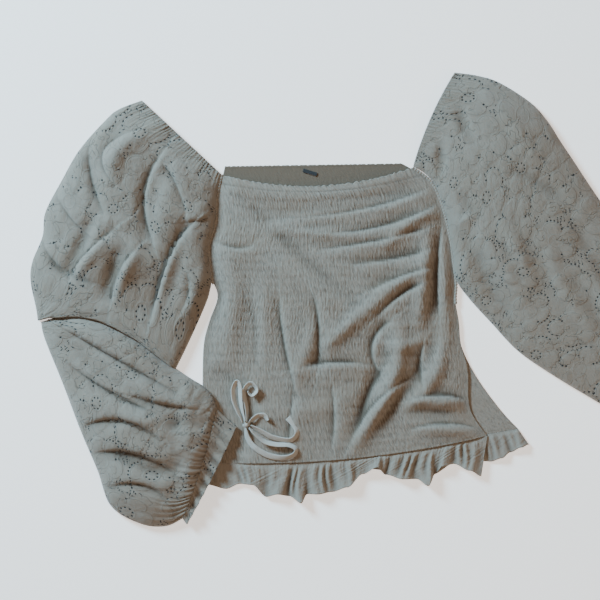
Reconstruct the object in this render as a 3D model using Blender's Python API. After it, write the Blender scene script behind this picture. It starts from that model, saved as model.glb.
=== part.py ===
# Off-shoulder top with a shirred body and puffed lace sleeves, laid flat on its back.
# The body's back rests on the floor, the front lies on it, and the left sleeve is folded at the elbow
# so that its tied cuff lies on the hem. +Y points to the neckline and +Z up, away from the floor.
# Sizes and places are in millimetres until a mesh is made.
import math

import bmesh
import bpy

MM = 0.001
COLLECTION = "off_shoulder_top"

# Cloth walls and the gap between two pieces
COTTON_WALL = 2.0
FRILL_WALL = 1.4
LACE_WALL = 1.7
GAP = 0.3

# Shirring of the body: elastic rows pulled into the cloth
SHIRR_PITCH = 12.0
SHIRR_RELIEF = 0.45
NECK_RUFFLE = 1.3
BODY_COLUMNS = 25
BACK_ROWS = 14
BACK_COLUMNS = 12

# Air between the body's front and back, and how the front's edges go down to the back
BODY_LOFT = 3.2
EDGE_BAND = 0.10
FRONT_FLOOR = COTTON_WALL + GAP

# Where the folded sleeve's cuff presses the body flat, and how high it lies there
CUFF_PRESS_FROM = (-116, -150)
CUFF_PRESS_TO = (-160, -300)
CUFF_PRESS_REACH = 42
CUFF_PRESS_EDGE = 26
CUFF_PILE = 6.4
PILE_START_X = -178
PILE_RUN = 26

# Rings of the sleeve tubes
SIDE_INSET = 3.5
BOTTOM_POINTS = 5
UPPER_SLEEVE_RINGS = 19
FOREARM_RINGS = 14
RIGHT_SLEEVE_RINGS = 25
SLEEVE_TOP_POINTS = 17
CUFF_TOP_POINTS = 19
END_WALL = 0.2

# Tie tape
TAPE_WIDTH = 9.0
TAPE_THICKNESS = 1.2
KNOT_SIZE = (11.0, 7.5, 7.0)

# How far around a place the front panel is searched for its highest point
REST_REACH = 9.0

LABEL_SIZE = (20.0, 5.0, 0.8)
LABEL_AT = (14.0, 178.5)
LABEL_TURN = -17.0

# Body sections from the neckline to the top of the hem frill
# left x, left y, right x, right y, sag of the row in the middle
FRONT_SECTIONS = (
    (-109, 175, 157, 185, -21),
    (-115, 148, 186, 161, -14),
    (-118, 108, 202, 119, -6),
    (-127, 73, 209, 88, -2),
    (-123, 31, 217, 29, 0),
    (-115, 5, 217, 0, 0),
    (-126, -28, 222, -30, 0),
    (-134, -58, 225, -62, 0),
    (-136, -96, 235, -98, 0),
    (-136, -154, 238, -152, -4),
    (-134, -227, 262, -190, -14),
)

BACK_SECTIONS = (
    (-105, 187, 143, 191, 0),
    (-113, 150, 184, 163, 0),
    (-118, 108, 202, 119, 0),
    (-127, 73, 209, 88, 0),
    (-123, 31, 217, 29, 0),
    (-115, 5, 217, 0, 0),
    (-126, -28, 222, -30, 0),
    (-134, -58, 225, -62, 0),
    (-136, -96, 246, -106, 0),
    (-136, -154, 280, -153, -4),
    (-134, -222, 305, -180, -10),
)

# Folds of the front panel: start, middle, end, half width, height (troughs are below zero)
BODY_FOLDS = (
    (-109, 169, 20, 146, 160, 181, 14, 3.5),
    (-84, 140, 20, 112, 182, 172, 15, -3.0),
    (-35, 104, 42, 121, 157, 141, 11, 4.5),
    (-35, 100, 20, 93, 70, 91, 8, 3.0),
    (186, 126, 150, 106, 119, 77, 10, 5.0),
    (178, 58, 119, 8, 58, -42, 13, 6.5),
    (197, 112, 190, 20, 179, -46, 10, -3.2),
    (178, 88, 173, 21, 164, -30, 12, 7.0),
    (208, 100, 207, 20, 208, -60, 8, 3.5),
    (116, -26, 108, -100, 66, -206, 10, -3.5),
    (138, -40, 128, -118, 72, -204, 12, 8.5),
    (190, -40, 164, -104, 99, -186, 9, -3.2),
    (201, -60, 186, -110, 150, -150, 10, 5.0),
    (32, -20, 31, -60, 29, -102, 8, -3.0),
    (-8, -112, 10, -70, 20, -32, 12, 4.5),
    (-75, 4, -79, -50, -80, -110, 15, -2.5),
    (-52, 20, -52, -20, -54, -74, 13, 3.0),
    (148, -139, 195, -142, 238, -144, 9, 4.0),
    (148, -154, 195, -157, 234, -160, 7, -2.5),
    (150, -173, 200, -180, 250, -184, 9, 4.0),
)

# Hem frill of the front: place along the hem, reach of the free edge, lift of the free edge
FRONT_WAVES = (
    (-131, -258, 0),
    (-103, -264, 1),
    (-84, -257, 0),
    (-66, -258, 6),
    (-47, -275, 1),
    (-31, -271, 9),
    (-15, -274, 1),
    (2, -283, 10),
    (10, -271, 2),
    (25, -271, 8),
    (45, -268, 2),
    (66, -261, 9),
    (88, -243, 3),
    (107, -233, 11),
    (120, -244, 2),
    (144, -250, 8),
    (163, -250, 2),
    (179, -259, 10),
    (190, -241, 2),
    (198, -232, 8),
    (215, -229, 2),
    (237, -238, 8),
    (253, -246, 3),
)

# Hem frill of the back, seen past the front's right end
BACK_WAVES = (
    (-128, -250, 0),
    (-90, -250, 0),
    (-50, -262, 0),
    (0, -270, 0),
    (50, -258, 0),
    (90, -236, 0),
    (140, -240, 0),
    (180, -246, 0),
    (225, -224, 0),
    (252, -225, 3),
    (267, -226, 0),
    (282, -221, 5),
    (294, -213, 1),
    (309, -206, 6),
    (320, -202, 2),
)

# Left sleeve, neck edge to elbow fold: outer x, outer y, inner x, inner y, sag, height
UPPER_SECTIONS = (
    (-221, 279, -109.6, 175.4, 0, 11),
    (-252, 267, -113.2, 162, 0, 15),
    (-270, 253, -115.8, 148, 0, 20),
    (-308, 210, -118.8, 108, 2, 26),
    (-334, 165, -127.8, 73, 4, 28),
    (-356, 122, -123.8, 31, 6, 28),
    (-360, 88, -126, 12, 9, 27),
    (-378, 42, -133, -10, 14, 25),
    (-371, 8, -150, -50, 18, 22),
    (-364, -24, -173, -95, 21, 17),
)

# The fold at the elbow, where the upper stretch goes under the folded one
ELBOW_FOLD = (
    (-366, -26),
    (-343, -23),
    (-288, -25),
    (-231, -52),
    (-190, -83),
    (-173, -94.4),
)
ELBOW_BLEND = 2.5

UPPER_FOLDS = (
    (-291, 221, -288, 179, -279, 133, 10, -7.0),
    (-195, 242, -246, 214, -262, 171, 14, 7.0),
    (-188, 186, -206, 140, -210, 78, 15, -10.0),
    (-146, 168, -131, 140, -147, 112, 14, 5.0),
    (-156, 104, -172, 42, -190, -10, 12, -9.0),
    (-133, 63, -143, 11, -168, -31, 10, 6.0),
    (-270, 104, -290, 70, -312, 36, 12, 6.5),
    (-290, 109, -305, 76, -322, 42, 9, -5.5),
    (-228, 72, -242, 42, -256, 14, 11, 7.0),
    (-252, 66, -262, 34, -272, 4, 9, -6.0),
    (-252, 259, -282, 226, -286, 196, 10, 4.5),
    (-348, 60, -330, 40, -300, 30, 9, -5.0),
)

# The folded stretch, elbow to gathered cuff: edge on the fold, outer edge, sag, height
FOREARM_SECTIONS = (
    (-341, -24, -362, -31, 0, 9),
    (-288, -26, -356, -56, 0, 19),
    (-231, -53, -331, -118, 0, 26),
    (-190, -84, -306, -184, 0, 29),
    (-154, -108, -283, -238, 0, 30),
    (-136, -119, -264, -288, 0, 29),
    (-124, -131, -222, -313, 0, 26),
    (-118, -142, -185, -315, 0, 21),
    (-116, -151, -160, -285, 0, 12),
)

FOREARM_FOLDS = (
    (-300, -36, -231, -62, -170, -110, 12, 5.0),
    (-322, -58, -266, -106, -205, -152, 13, -8.0),
    (-250, -100, -200, -130, -150, -146, 12, 5.0),
    (-252, -182, -206, -170, -176, -206, 15, 6.0),
    (-262, -206, -214, -236, -172, -232, 12, -7.0),
    (-262, -240, -224, -276, -189, -292, 15, 5.0),
    (-128, -176, -160, -172, -220, -176, 10, -5.0),
    (-330, -150, -300, -140, -270, -146, 11, 4.0),
)

# Right sleeve, neck edge to gathered cuff: outer edge, inner edge, sag, height
RIGHT_SECTIONS = (
    (216, 318, 158.3, 186.6, 5, 11),
    (250, 313, 173.8, 177.2, 5, 16),
    (280, 303, 187.2, 162.2, 4, 21),
    (322, 276, 196.9, 140, 2, 26),
    (346, 250, 203.1, 119.3, 0, 28),
    (364, 222, 209.8, 88.3, 0, 29),
    (374, 207, 214.2, 58.4, 0, 29),
    (384, 192, 217.8, 29, 0, 29),
    (409, 154, 237, 1, 0, 29),
    (445, 101, 268, -33, 0, 28),
    (483, 45, 304, -71, 0, 28),
    (521, -11, 353, -105, 0, 27),
    (554, -60, 406, -137, 0, 26),
    (580, -100, 455, -166, 0, 24),
    (596, -128, 490, -190, 0, 20),
    (594, -144, 512, -212, 0, 12),
)

RIGHT_FOLDS = (
    (221, 266, 228, 244, 241, 222, 9, -5.0),
    (196, 214, 196, 194, 196, 172, 8, -6.0),
    (282, 104, 302, 66, 322, 22, 12, 7.0),
    (301, 178, 338, 160, 376, 132, 11, -6.0),
    (221, 153, 236, 132, 251, 110, 9, -5.0),
    (229, 86, 262, 22, 292, -30, 12, -9.0),
    (245, 105, 280, 50, 330, -36, 12, 5.0),
    (238, 294, 286, 262, 324, 208, 13, 6.0),
    (210, 104, 226, 110, 240, 118, 8, 4.5),
    (380, 110, 420, 40, 470, -20, 14, -7.0),
    (400, 60, 440, -30, 500, -110, 13, 6.0),
    (450, 60, 490, 0, 540, -80, 13, -7.0),
    (340, 80, 370, 10, 420, -60, 13, 5.0),
)

# Cuff frills past the gather line, as the sleeve tables above
LEFT_CUFF_SECTIONS = (
    (-101, -163, -160, -299, 0, 10),
    (-86, -174, -161, -312, 0, 13),
)

RIGHT_CUFF_SECTIONS = (
    (605, -157, 519, -228, 0, 10),
    (614, -170, 522, -245, 0, 13),
)
CUFF_WAVES = 9
CUFF_WAVE_HEIGHT = 2.6

# The bow's stretches of tape: x, y, lift above the cloth, tilt of the tape (90 stands on its edge)
BOW_KNOT = (-75, -174)
BOW_LOOP_UPPER = (
    (-80.3, -170.7, 1, 82),
    (-82, -164, 2, 80),
    (-86, -156, 3, 76),
    (-92, -140, 3, 72),
    (-93, -124, 3, 74),
    (-88, -114, 3, 76),
    (-84, -122, 3, 78),
    (-83, -138, 3, 80),
    (-81, -152, 3, 82),
    (-76.7, -169.7, 1, 86),
)
BOW_LOOP_LOWER = (
    (-75.8, -178.4, 2.4, 80),
    (-73, -192, 2, 45),
    (-64, -205, 2, 30),
    (-46, -216, 2, 28),
    (-27, -220, 2, 48),
    (-11, -217, 2, 76),
    (-5, -208.5, 2, 84),
    (-15, -202, 2, 82),
    (-34, -201, 2, 74),
    (-51, -196, 2, 72),
    (-71, -177.9, 2.4, 84),
)
BOW_TAIL_CURLED = (
    (-74, -169.6, 1, 84),
    (-74, -154, 2, 82),
    (-77, -138, 2, 82),
    (-78, -126, 2, 84),
    (-69, -116, 2, 86),
    (-60, -125, 2, 86),
    (-67, -133, 2, 86),
    (-73, -127, 2, 86),
)
BOW_TAIL_SHORT = (
    (-71.1, -171, 1, 82),
    (-60, -162, 2, 72),
    (-50, -161, 2, 62),
    (-45, -168, 1, 70),
)
BOW_TAIL_LONG = (
    (-68.8, -174.6, 1, 82),
    (-54, -183, 2, 60),
    (-36, -192, 2, 62),
    (-13, -195, 2, 68),
    (-4, -185, 2, 62),
    (-8, -174, 1, 35),
    (-17, -164, 1, 15),
)

# The right cuff's bow is the left one's pair and lies on the floor beside the cuff
RIGHT_KNOT = (507, -232)
RIGHT_BOW_TURN = -174
RIGHT_TIE_LEAD = (
    (515.4, -221, 1, 80),
    (514.2, -225.4, 1, 82),
    (511.2, -228.6, 1, 84),
)

COTTON = ("shirred_cotton", (0.70, 0.70, 0.68), 0.9)
COTTON_PLAIN = ("plain_cotton", (0.70, 0.69, 0.66), 0.88)
LACE = ("cotton_lace", (0.66, 0.65, 0.62), 0.85)
TAPE = ("tie_tape", (0.74, 0.74, 0.73), 0.8)
LABEL = ("dark_label", (0.02, 0.02, 0.025), 0.6)


def clear_scene():
    for item in list(bpy.data.objects):
        bpy.data.objects.remove(item)


def material(finish):
    name, colour, roughness = finish
    made = bpy.data.materials.get(name)
    if made is None:
        made = bpy.data.materials.new(name)
        made.use_nodes = True
        shader = made.node_tree.nodes["Principled BSDF"]
        shader.inputs["Base Color"].default_value = (*colour, 1)
        shader.inputs["Roughness"].default_value = roughness
        shader.inputs["Metallic"].default_value = 0
    return made


def smooth_step(value):
    value = min(max(value, 0), 1)
    return value * value * (3 - 2 * value)


def blend(a, b, t):
    return a + (b - a) * t


def spline(table, at):
    # Catmull-Rom through the table's rows, read at a whole or broken row number
    last = len(table) - 1
    row = min(int(at), last - 1)
    t = at - row
    before = table[max(row - 1, 0)]
    start = table[row]
    end = table[row + 1]
    after = table[min(row + 2, last)]
    result = []
    for p0, p1, p2, p3 in zip(before, start, end, after):
        bend = 2 * p0 - 5 * p1 + 4 * p2 - p3
        twist = 3 * (p1 - p2) + p3 - p0
        result.append(0.5 * (2 * p1 + (p2 - p0) * t + bend * t * t + twist * t ** 3))
    return result


def stations(table, count, columns=(0, 1, 2, 3)):
    # Row numbers spaced evenly along the table's own length
    lengths = [0.0]
    for a, b in zip(table, table[1:]):
        lengths.append(lengths[-1] + math.sqrt(sum((b[c] - a[c]) ** 2 for c in columns)))
    result = []
    for step in range(count + 1):
        want = lengths[-1] * step / count
        row = 0
        while row < len(table) - 2 and lengths[row + 1] < want:
            row += 1
        result.append(row + (want - lengths[row]) / (lengths[row + 1] - lengths[row]))
    return result


def fold_path(fold, pieces=6):
    # A bend through the fold's start, middle and end
    x0, y0, xm, ym, x1, y1 = fold[:6]
    cx, cy = 2 * xm - 0.5 * (x0 + x1), 2 * ym - 0.5 * (y0 + y1)
    path = []
    for step in range(pieces + 1):
        t = step / pieces
        a, b, c = (1 - t) ** 2, 2 * t * (1 - t), t * t
        path.append((a * x0 + b * cx + c * x1, a * y0 + b * cy + c * y1))
    return path


def prepare_folds(folds):
    return [(fold_path(fold), fold[6], fold[7]) for fold in folds]


def fold_height(prepared, x, y):
    total = 0.0
    for path, width, height in prepared:
        best, along = 1e9, 0.0
        pieces = len(path) - 1
        for i in range(pieces):
            ax, ay = path[i]
            dx, dy = path[i + 1][0] - ax, path[i + 1][1] - ay
            t = ((x - ax) * dx + (y - ay) * dy) / (dx * dx + dy * dy)
            t = min(max(t, 0), 1)
            d = math.hypot(x - ax - t * dx, y - ay - t * dy)
            if d < best:
                best, along = d, (i + t) / pieces
        taper = math.sin(math.pi * min(max(0.12 + 0.76 * along, 0), 1))
        total += height * taper * math.exp(-(best / width) ** 2)
    return total


def distance_to_line(x, y, start, end):
    dx, dy = end[0] - start[0], end[1] - start[1]
    t = ((x - start[0]) * dx + (y - start[1]) * dy) / (dx * dx + dy * dy)
    t = min(max(t, 0), 1)
    return math.hypot(x - start[0] - t * dx, y - start[1] - t * dy)


def body_row(sections, at, across):
    left_x, left_y, right_x, right_y, sag = spline(sections, at)
    x = blend(left_x, right_x, across)
    y = blend(left_y, right_y, across) + sag * 4 * across * (1 - across)
    return x, y


def cuff_clearance(x, y):
    # 0 under the folded sleeve's cuff, 1 away from it
    away = distance_to_line(x, y, CUFF_PRESS_FROM, CUFF_PRESS_TO)
    return smooth_step((away - CUFF_PRESS_REACH) / CUFF_PRESS_EDGE)


def front_lift(x, y, across, folds):
    # Height of the front panel's underside above its lowest level
    edge = smooth_step(min(across, 1 - across) / EDGE_BAND)
    lift = BODY_LOFT + fold_height(folds, x, y)
    return max(lift, 0.0) * edge * cuff_clearance(x, y)


def new_object(name, vertices, faces, finish, smooth=True):
    mesh = bpy.data.meshes.new(name)
    mesh.from_pydata([(x * MM, y * MM, z * MM) for x, y, z in vertices], [], faces)
    shaped = bmesh.new()
    shaped.from_mesh(mesh)
    bmesh.ops.recalc_face_normals(shaped, faces=shaped.faces)
    shaped.to_mesh(mesh)
    shaped.free()
    if smooth:
        mesh.shade_smooth()
    mesh.materials.append(material(finish))
    made = bpy.data.objects.new(name, mesh)
    bpy.data.collections[COLLECTION].objects.link(made)
    return made


def grid_wall(name, top, bottom, finish):
    # A wall between an upper and a lower grid; the lower one may have every second row only
    rows, columns = len(top) - 1, len(top[0]) - 1
    step = rows // (len(bottom) - 1)
    vertices = [point for row in top for point in row]
    first_low = len(vertices)
    vertices += [point for row in bottom for point in row]
    faces = []

    def high(r, c):
        return r * (columns + 1) + c

    def low(r, c):
        return first_low + (r // step) * (columns + 1) + c

    for r in range(rows):
        for c in range(columns):
            faces.append((high(r, c), high(r + 1, c), high(r + 1, c + 1), high(r, c + 1)))
    for r in range(0, rows, step):
        for c in range(columns):
            faces.append((low(r, c), low(r, c + 1), low(r + step, c + 1), low(r + step, c)))
        for c in (0, columns):
            side = [high(k, c) for k in range(r, r + step + 1)]
            faces.append((*side, low(r + step, c), low(r, c)))
    for c in range(columns):
        faces.append((high(0, c), high(0, c + 1), low(0, c + 1), low(0, c)))
        faces.append((high(rows, c + 1), high(rows, c), low(rows, c), low(rows, c + 1)))
    return new_object(name, vertices, faces, finish)


def build_back_panel():
    top, bottom = [], []
    for at in stations(BACK_SECTIONS, BACK_ROWS):
        points = [body_row(BACK_SECTIONS, at, c / BACK_COLUMNS) for c in range(BACK_COLUMNS + 1)]
        top.append([(x, y, COTTON_WALL) for x, y in points])
        bottom.append([(x, y, 0) for x, y in points])
    grid_wall("back_panel", top, bottom, COTTON)


def front_grid(folds):
    height = FRONT_SECTIONS[0][1] - FRONT_SECTIONS[-1][1]
    shirr_rows = round(height / SHIRR_PITCH)
    rows = 2 * shirr_rows
    grid = []
    for index, at in enumerate(stations(FRONT_SECTIONS, rows)):
        row = []
        for c in range(BODY_COLUMNS + 1):
            across = c / BODY_COLUMNS
            x, y = body_row(FRONT_SECTIONS, at, across)
            if index == 0:
                y += NECK_RUFFLE * (1 if c % 2 else -1)
            row.append((x, y, FRONT_FLOOR + front_lift(x, y, across, folds)))
        grid.append(row)
    return grid


def build_front_panel(folds):
    under = front_grid(folds)
    top = []
    for index, row in enumerate(under):
        relief = SHIRR_RELIEF if index % 2 else -SHIRR_RELIEF
        top.append([(x, y, z + COTTON_WALL + relief) for x, y, z in row])
    grid_wall("front_panel", top, under[::2], COTTON)
    return under


def wave_at(waves, x):
    # Free edge's reach and lift at a place along the hem, easing from crest to trough
    for a, b in zip(waves, waves[1:]):
        if x <= b[0]:
            t = smooth_step((x - a[0]) / (b[0] - a[0]))
            return blend(a[1], b[1], t), blend(a[2], b[2], t)
    return waves[-1][1], waves[-1][2]


def build_frill(name, seam, waves, floor, columns, rows=3):
    # seam: points along the frill's gathered top, left to right
    top, bottom = [], []
    start, end = waves[0][0], waves[-1][0]
    for r in range(rows + 1):
        t = r / rows
        high, low = [], []
        for c in range(columns + 1):
            across = c / columns
            place = across * (len(seam) - 1)
            k = min(int(place), len(seam) - 2)
            sx, sy, sz = (blend(a, b, place - k) for a, b in zip(seam[k], seam[k + 1]))
            x = blend(start, end, across)
            reach, lift = wave_at(waves, x)
            lift *= cuff_clearance(x, reach)
            z = blend(sz, floor + lift, t)
            point = (blend(sx, x, t), blend(sy - GAP, reach, t))
            low.append((*point, z))
            high.append((*point, z + FRILL_WALL))
        top.append(high)
        bottom.append(low)
    grid_wall(name, top, bottom, COTTON_PLAIN)


def flat_floor(x, y):
    return 0.0


def cuff_floor(x, y):
    # The folded sleeve rises from the floor onto the body
    return CUFF_PILE * smooth_step((x - PILE_START_X) / PILE_RUN)


def ring_profile(width, height, top_points):
    # Across from the first edge (0) to the second (1) over the top, then back along the underside
    side = min(0.42 * height, 5.5)
    over = []
    for k in range(top_points + 1):
        angle = math.pi * k / top_points
        across = 0.5 * (1 - math.cos(angle)) * 0.65 + 0.35 * k / top_points
        over.append((across, side, math.sin(angle) ** 0.7 if 0 < k < top_points else 0.0))
    inset = SIDE_INSET / width
    under = []
    for k in range(BOTTOM_POINTS + 1):
        under.append((blend(1 - inset, inset, k / BOTTOM_POINTS), 0.0, 0.0))
    return over, under


def next_section(section, turn):
    # The seam's other side, a gap further along the tube
    ax, ay, bx, by, sag, height = section
    width = math.hypot(bx - ax, by - ay)
    step_x, step_y = turn * (by - ay) / width * GAP, -turn * (bx - ax) / width * GAP
    return ax + step_x, ay + step_y, bx + step_x, by + step_y, sag, height


def tube_ring(section, folds, top_points, floor, turn, wave, edge, edge_part):
    ax, ay, bx, by, sag, height = section
    width = math.hypot(bx - ax, by - ay)
    along_x, along_y = (bx - ax) / width, (by - ay) / width
    over, under = ring_profile(width, height, top_points)
    ring = []
    for across, side, rise in over + under:
        offset = turn * sag * 4 * across * (1 - across)
        x = blend(ax, bx, across) - along_y * offset
        y = blend(ay, by, across) + along_x * offset
        if edge:
            edge_x, edge_y = spline(edge, across * (len(edge) - 1))
            x, y = blend(x, edge_x, edge_part), blend(y, edge_y, edge_part)
        base = floor(x, y)
        z = base + side
        if rise > 0:
            crown = height - side + fold_height(folds, x, y)
            crown += wave * math.cos(2 * math.pi * CUFF_WAVES * across)
            z += max(crown * rise, 0.0)
        ring.append((x, y, z, across * width))
    return ring


def inset_ring(ring, wall):
    # The same ring moved inwards by the wall, worked out in the ring's own upright plane
    inner = []
    count = len(ring)
    for i in range(count):
        before, here, after = ring[i - 1], ring[i], ring[(i + 1) % count]
        normals = []
        for p, q in ((before, here), (here, after)):
            ds, dz = q[3] - p[3], q[2] - p[2]
            size = math.hypot(ds, dz)
            normals.append((dz / size, -ds / size))
        ns, nz = normals[0][0] + normals[1][0], normals[0][1] + normals[1][1]
        size = math.hypot(ns, nz)
        ns, nz = ns / size, nz / size
        reach = wall / max(ns * normals[0][0] + nz * normals[0][1], 0.5)
        inner.append((ns * reach, here[2] + nz * reach))
    return inner


def build_tube(name, sections, folds, rings, finish, floor=flat_floor, turn=1,
               top_points=SLEEVE_TOP_POINTS, closed_start=False, wave=0.0, edge=()):
    prepared = prepare_folds(folds)
    outer, inner = [], []
    for index, at in enumerate(stations(sections, rings)):
        section = spline(sections, at)
        edge_part = smooth_step((at - len(sections) + 1) / ELBOW_BLEND + 1)
        ring = tube_ring(section, prepared, top_points, floor, turn, wave * index / rings, edge, edge_part)
        ax, ay, bx, by = section[:4]
        width = math.hypot(bx - ax, by - ay)
        outer.append([point[:3] for point in ring])
        inner.append([
            (x + shift * (bx - ax) / width, y + shift * (by - ay) / width, z)
            for (x, y, _, _), (shift, z) in zip(ring, inset_ring(ring, LACE_WALL))
        ])
    if closed_start:
        inner[0] = move_towards(inner[0], inner[1], END_WALL)
    count = len(outer[0])
    vertices = [p for ring in outer for p in ring]
    first_inner = len(vertices)
    vertices += [p for ring in inner for p in ring]
    faces = []
    for r in range(rings):
        for k in range(count):
            n = (k + 1) % count
            a, b = r * count + k, r * count + n
            c, d = a + count, b + count
            faces.append((a, b, d, c))
            faces.append((first_inner + a, first_inner + c, first_inner + d, first_inner + b))
    ends = [rings] if closed_start else [0, rings]
    for r in ends:
        for k in range(count):
            n = (k + 1) % count
            a, b = r * count + k, r * count + n
            faces.append((a, first_inner + a, first_inner + b, b))
    if closed_start:
        faces += end_cap(0, count, top_points)
        faces += end_cap(first_inner, count, top_points)
    new_object(name, vertices, faces, finish)


def move_towards(ring, following, reach):
    # Every point of a ring moved towards the next ring by a part of the distance
    return [tuple(blend(a, b, reach) for a, b in zip(p, q)) for p, q in zip(ring, following)]


def end_cap(first, count, top_points):
    # Strips between the upper and the lower half of a ring
    faces = []
    upper = list(range(first, first + top_points + 1))
    lower = list(range(first + count - 1, first + top_points, -1))
    used = 0
    for k in range(top_points):
        want = round((k + 1) / top_points * (len(lower) - 1))
        strip = [upper[k], upper[k + 1]] + [lower[j] for j in range(want, used - 1, -1)]
        faces.append(tuple(strip))
        used = want
    return faces


def build_tape(name, route, surface, steps):
    # A flat tape along a route, turned about its own length by the tilt column
    points = [spline(route, at) for at in stations(route, steps, columns=(0, 1))]
    centres = [(x, y, surface(x, y) + lift) for x, y, lift, tilt in points]
    vertices, faces = [], []
    for i, (x, y, z) in enumerate(centres):
        before, after = centres[max(i - 1, 0)], centres[min(i + 1, steps)]
        dx, dy = after[0] - before[0], after[1] - before[1]
        size = math.hypot(dx, dy)
        side_x, side_y = -dy / size, dx / size
        tilt = math.radians(points[i][3])
        half = 0.5 * TAPE_WIDTH
        wide = (side_x * math.cos(tilt) * half, side_y * math.cos(tilt) * half, math.sin(tilt) * half)
        thin_scale = 0.5 * TAPE_THICKNESS
        thin = (-side_x * math.sin(tilt) * thin_scale, -side_y * math.sin(tilt) * thin_scale,
                math.cos(tilt) * thin_scale)
        rise = wide[2] - 0.5 * TAPE_THICKNESS
        for w, t in ((-1, -1), (1, -1), (1, 1), (-1, 1)):
            vertices.append((
                x + w * wide[0] + t * thin[0],
                y + w * wide[1] + t * thin[1],
                z + rise + w * wide[2] + t * thin[2],
            ))
    for i in range(steps):
        for k in range(4):
            n = (k + 1) % 4
            a, b = 4 * i + k, 4 * i + n
            faces.append((a, b, b + 4, a + 4))
    faces.append((0, 3, 2, 1))
    last = 4 * steps
    faces.append((last, last + 1, last + 2, last + 3))
    new_object(name, vertices, faces, TAPE, smooth=False)


def build_knot(name, place, surface):
    x, y = place
    knot = bmesh.new()
    bmesh.ops.create_uvsphere(knot, u_segments=10, v_segments=6, radius=0.5 * MM)
    for vertex in knot.verts:
        vertex.co.x *= KNOT_SIZE[0]
        vertex.co.y *= KNOT_SIZE[1]
        vertex.co.z *= KNOT_SIZE[2]
        vertex.co.x += x * MM
        vertex.co.y += y * MM
        vertex.co.z += (surface(x, y) + 0.5 * KNOT_SIZE[2] + GAP) * MM
    mesh = bpy.data.meshes.new(name)
    knot.to_mesh(mesh)
    knot.free()
    mesh.shade_smooth()
    mesh.materials.append(material(TAPE))
    bpy.data.collections[COLLECTION].objects.link(bpy.data.objects.new(name, mesh))


def front_surface(under):
    # Highest point of the front panel near a place, for what lies on it
    def height(x, y):
        near = [p[2] for row in under for p in row if math.hypot(p[0] - x, p[1] - y) < REST_REACH]
        return (max(near) if near else FRONT_FLOOR) + COTTON_WALL + SHIRR_RELIEF + GAP
    return height


def build_left_tie(under):
    surface = front_surface(under)
    build_knot("left_tie_knot", BOW_KNOT, surface)
    build_tape("left_tie_loop_upper", BOW_LOOP_UPPER, surface, 20)
    build_tape("left_tie_loop_lower", BOW_LOOP_LOWER, surface, 26)
    build_tape("left_tie_tail_curled", BOW_TAIL_CURLED, surface, 18)
    build_tape("left_tie_tail_short", BOW_TAIL_SHORT, surface, 8)
    build_tape("left_tie_tail_long", BOW_TAIL_LONG, surface, 14)


def turned_route(route):
    # A stretch of the left bow turned about its knot and set down at the right cuff
    turn = math.radians(RIGHT_BOW_TURN)
    result = []
    for x, y, lift, tilt in route:
        dx, dy = x - BOW_KNOT[0], y - BOW_KNOT[1]
        result.append((
            RIGHT_KNOT[0] + dx * math.cos(turn) - dy * math.sin(turn),
            RIGHT_KNOT[1] + dx * math.sin(turn) + dy * math.cos(turn),
            lift,
            tilt,
        ))
    return result


def build_right_tie():
    def surface(x, y):
        return GAP

    build_knot("right_tie_knot", RIGHT_KNOT, surface)
    build_tape("right_tie_lead", RIGHT_TIE_LEAD, surface, 4)
    build_tape("right_tie_loop_upper", turned_route(BOW_LOOP_UPPER), surface, 18)
    build_tape("right_tie_loop_lower", turned_route(BOW_LOOP_LOWER), surface, 24)
    build_tape("right_tie_tail_short", turned_route(BOW_TAIL_SHORT), surface, 6)
    build_tape("right_tie_tail_long", turned_route(BOW_TAIL_LONG), surface, 12)


def build_label():
    x, y = LABEL_AT
    bpy.ops.mesh.primitive_cube_add(size=1, location=(x * MM, y * MM, 0), rotation=(0, 0, math.radians(LABEL_TURN)))
    label = bpy.context.object
    label.name = "neck_label"
    label.data.name = "neck_label"
    label.scale = [size * MM for size in LABEL_SIZE]
    label.location.z = (COTTON_WALL + GAP + 0.5 * LABEL_SIZE[2]) * MM
    label.data.materials.append(material(LABEL))
    for holder in list(label.users_collection):
        holder.objects.unlink(label)
    bpy.data.collections[COLLECTION].objects.link(label)


def build_top():
    clear_scene()
    collection = bpy.data.collections.new(COLLECTION)
    bpy.context.scene.collection.children.link(collection)
    folds = prepare_folds(BODY_FOLDS)
    build_back_panel()
    under = build_front_panel(folds)
    build_frill("front_frill", under[-1], FRONT_WAVES, FRONT_FLOOR, 56)
    back_seam = [(*body_row(BACK_SECTIONS, len(BACK_SECTIONS) - 1, c / 20), 0) for c in range(21)]
    build_frill("back_frill", back_seam, BACK_WAVES, 0, 30, rows=2)
    build_tube("left_sleeve_upper", UPPER_SECTIONS, UPPER_FOLDS, UPPER_SLEEVE_RINGS, LACE,
               edge=ELBOW_FOLD)
    build_tube("left_sleeve_forearm", FOREARM_SECTIONS, FOREARM_FOLDS, FOREARM_RINGS, LACE,
               floor=cuff_floor, closed_start=True)
    left_cuff = (next_section(FOREARM_SECTIONS[-1], -1), *LEFT_CUFF_SECTIONS)
    build_tube("left_cuff_frill", left_cuff, (), 3, LACE, floor=cuff_floor,
               top_points=CUFF_TOP_POINTS, wave=CUFF_WAVE_HEIGHT)
    build_tube("right_sleeve", RIGHT_SECTIONS, RIGHT_FOLDS, RIGHT_SLEEVE_RINGS, LACE, turn=-1)
    right_cuff = (next_section(RIGHT_SECTIONS[-1], -1), *RIGHT_CUFF_SECTIONS)
    build_tube("right_cuff_frill", right_cuff, (), 3, LACE, turn=-1,
               top_points=CUFF_TOP_POINTS, wave=CUFF_WAVE_HEIGHT)
    build_left_tie(under)
    build_right_tie()
    build_label()


build_top()
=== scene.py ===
# Off-shoulder top laid flat: shirred cotton body with a frilled hem, and puffed lace sleeves tied at
# the cuffs. Sizes and places are in millimetres until a mesh is made; +Y points to the neckline.
import math

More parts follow.
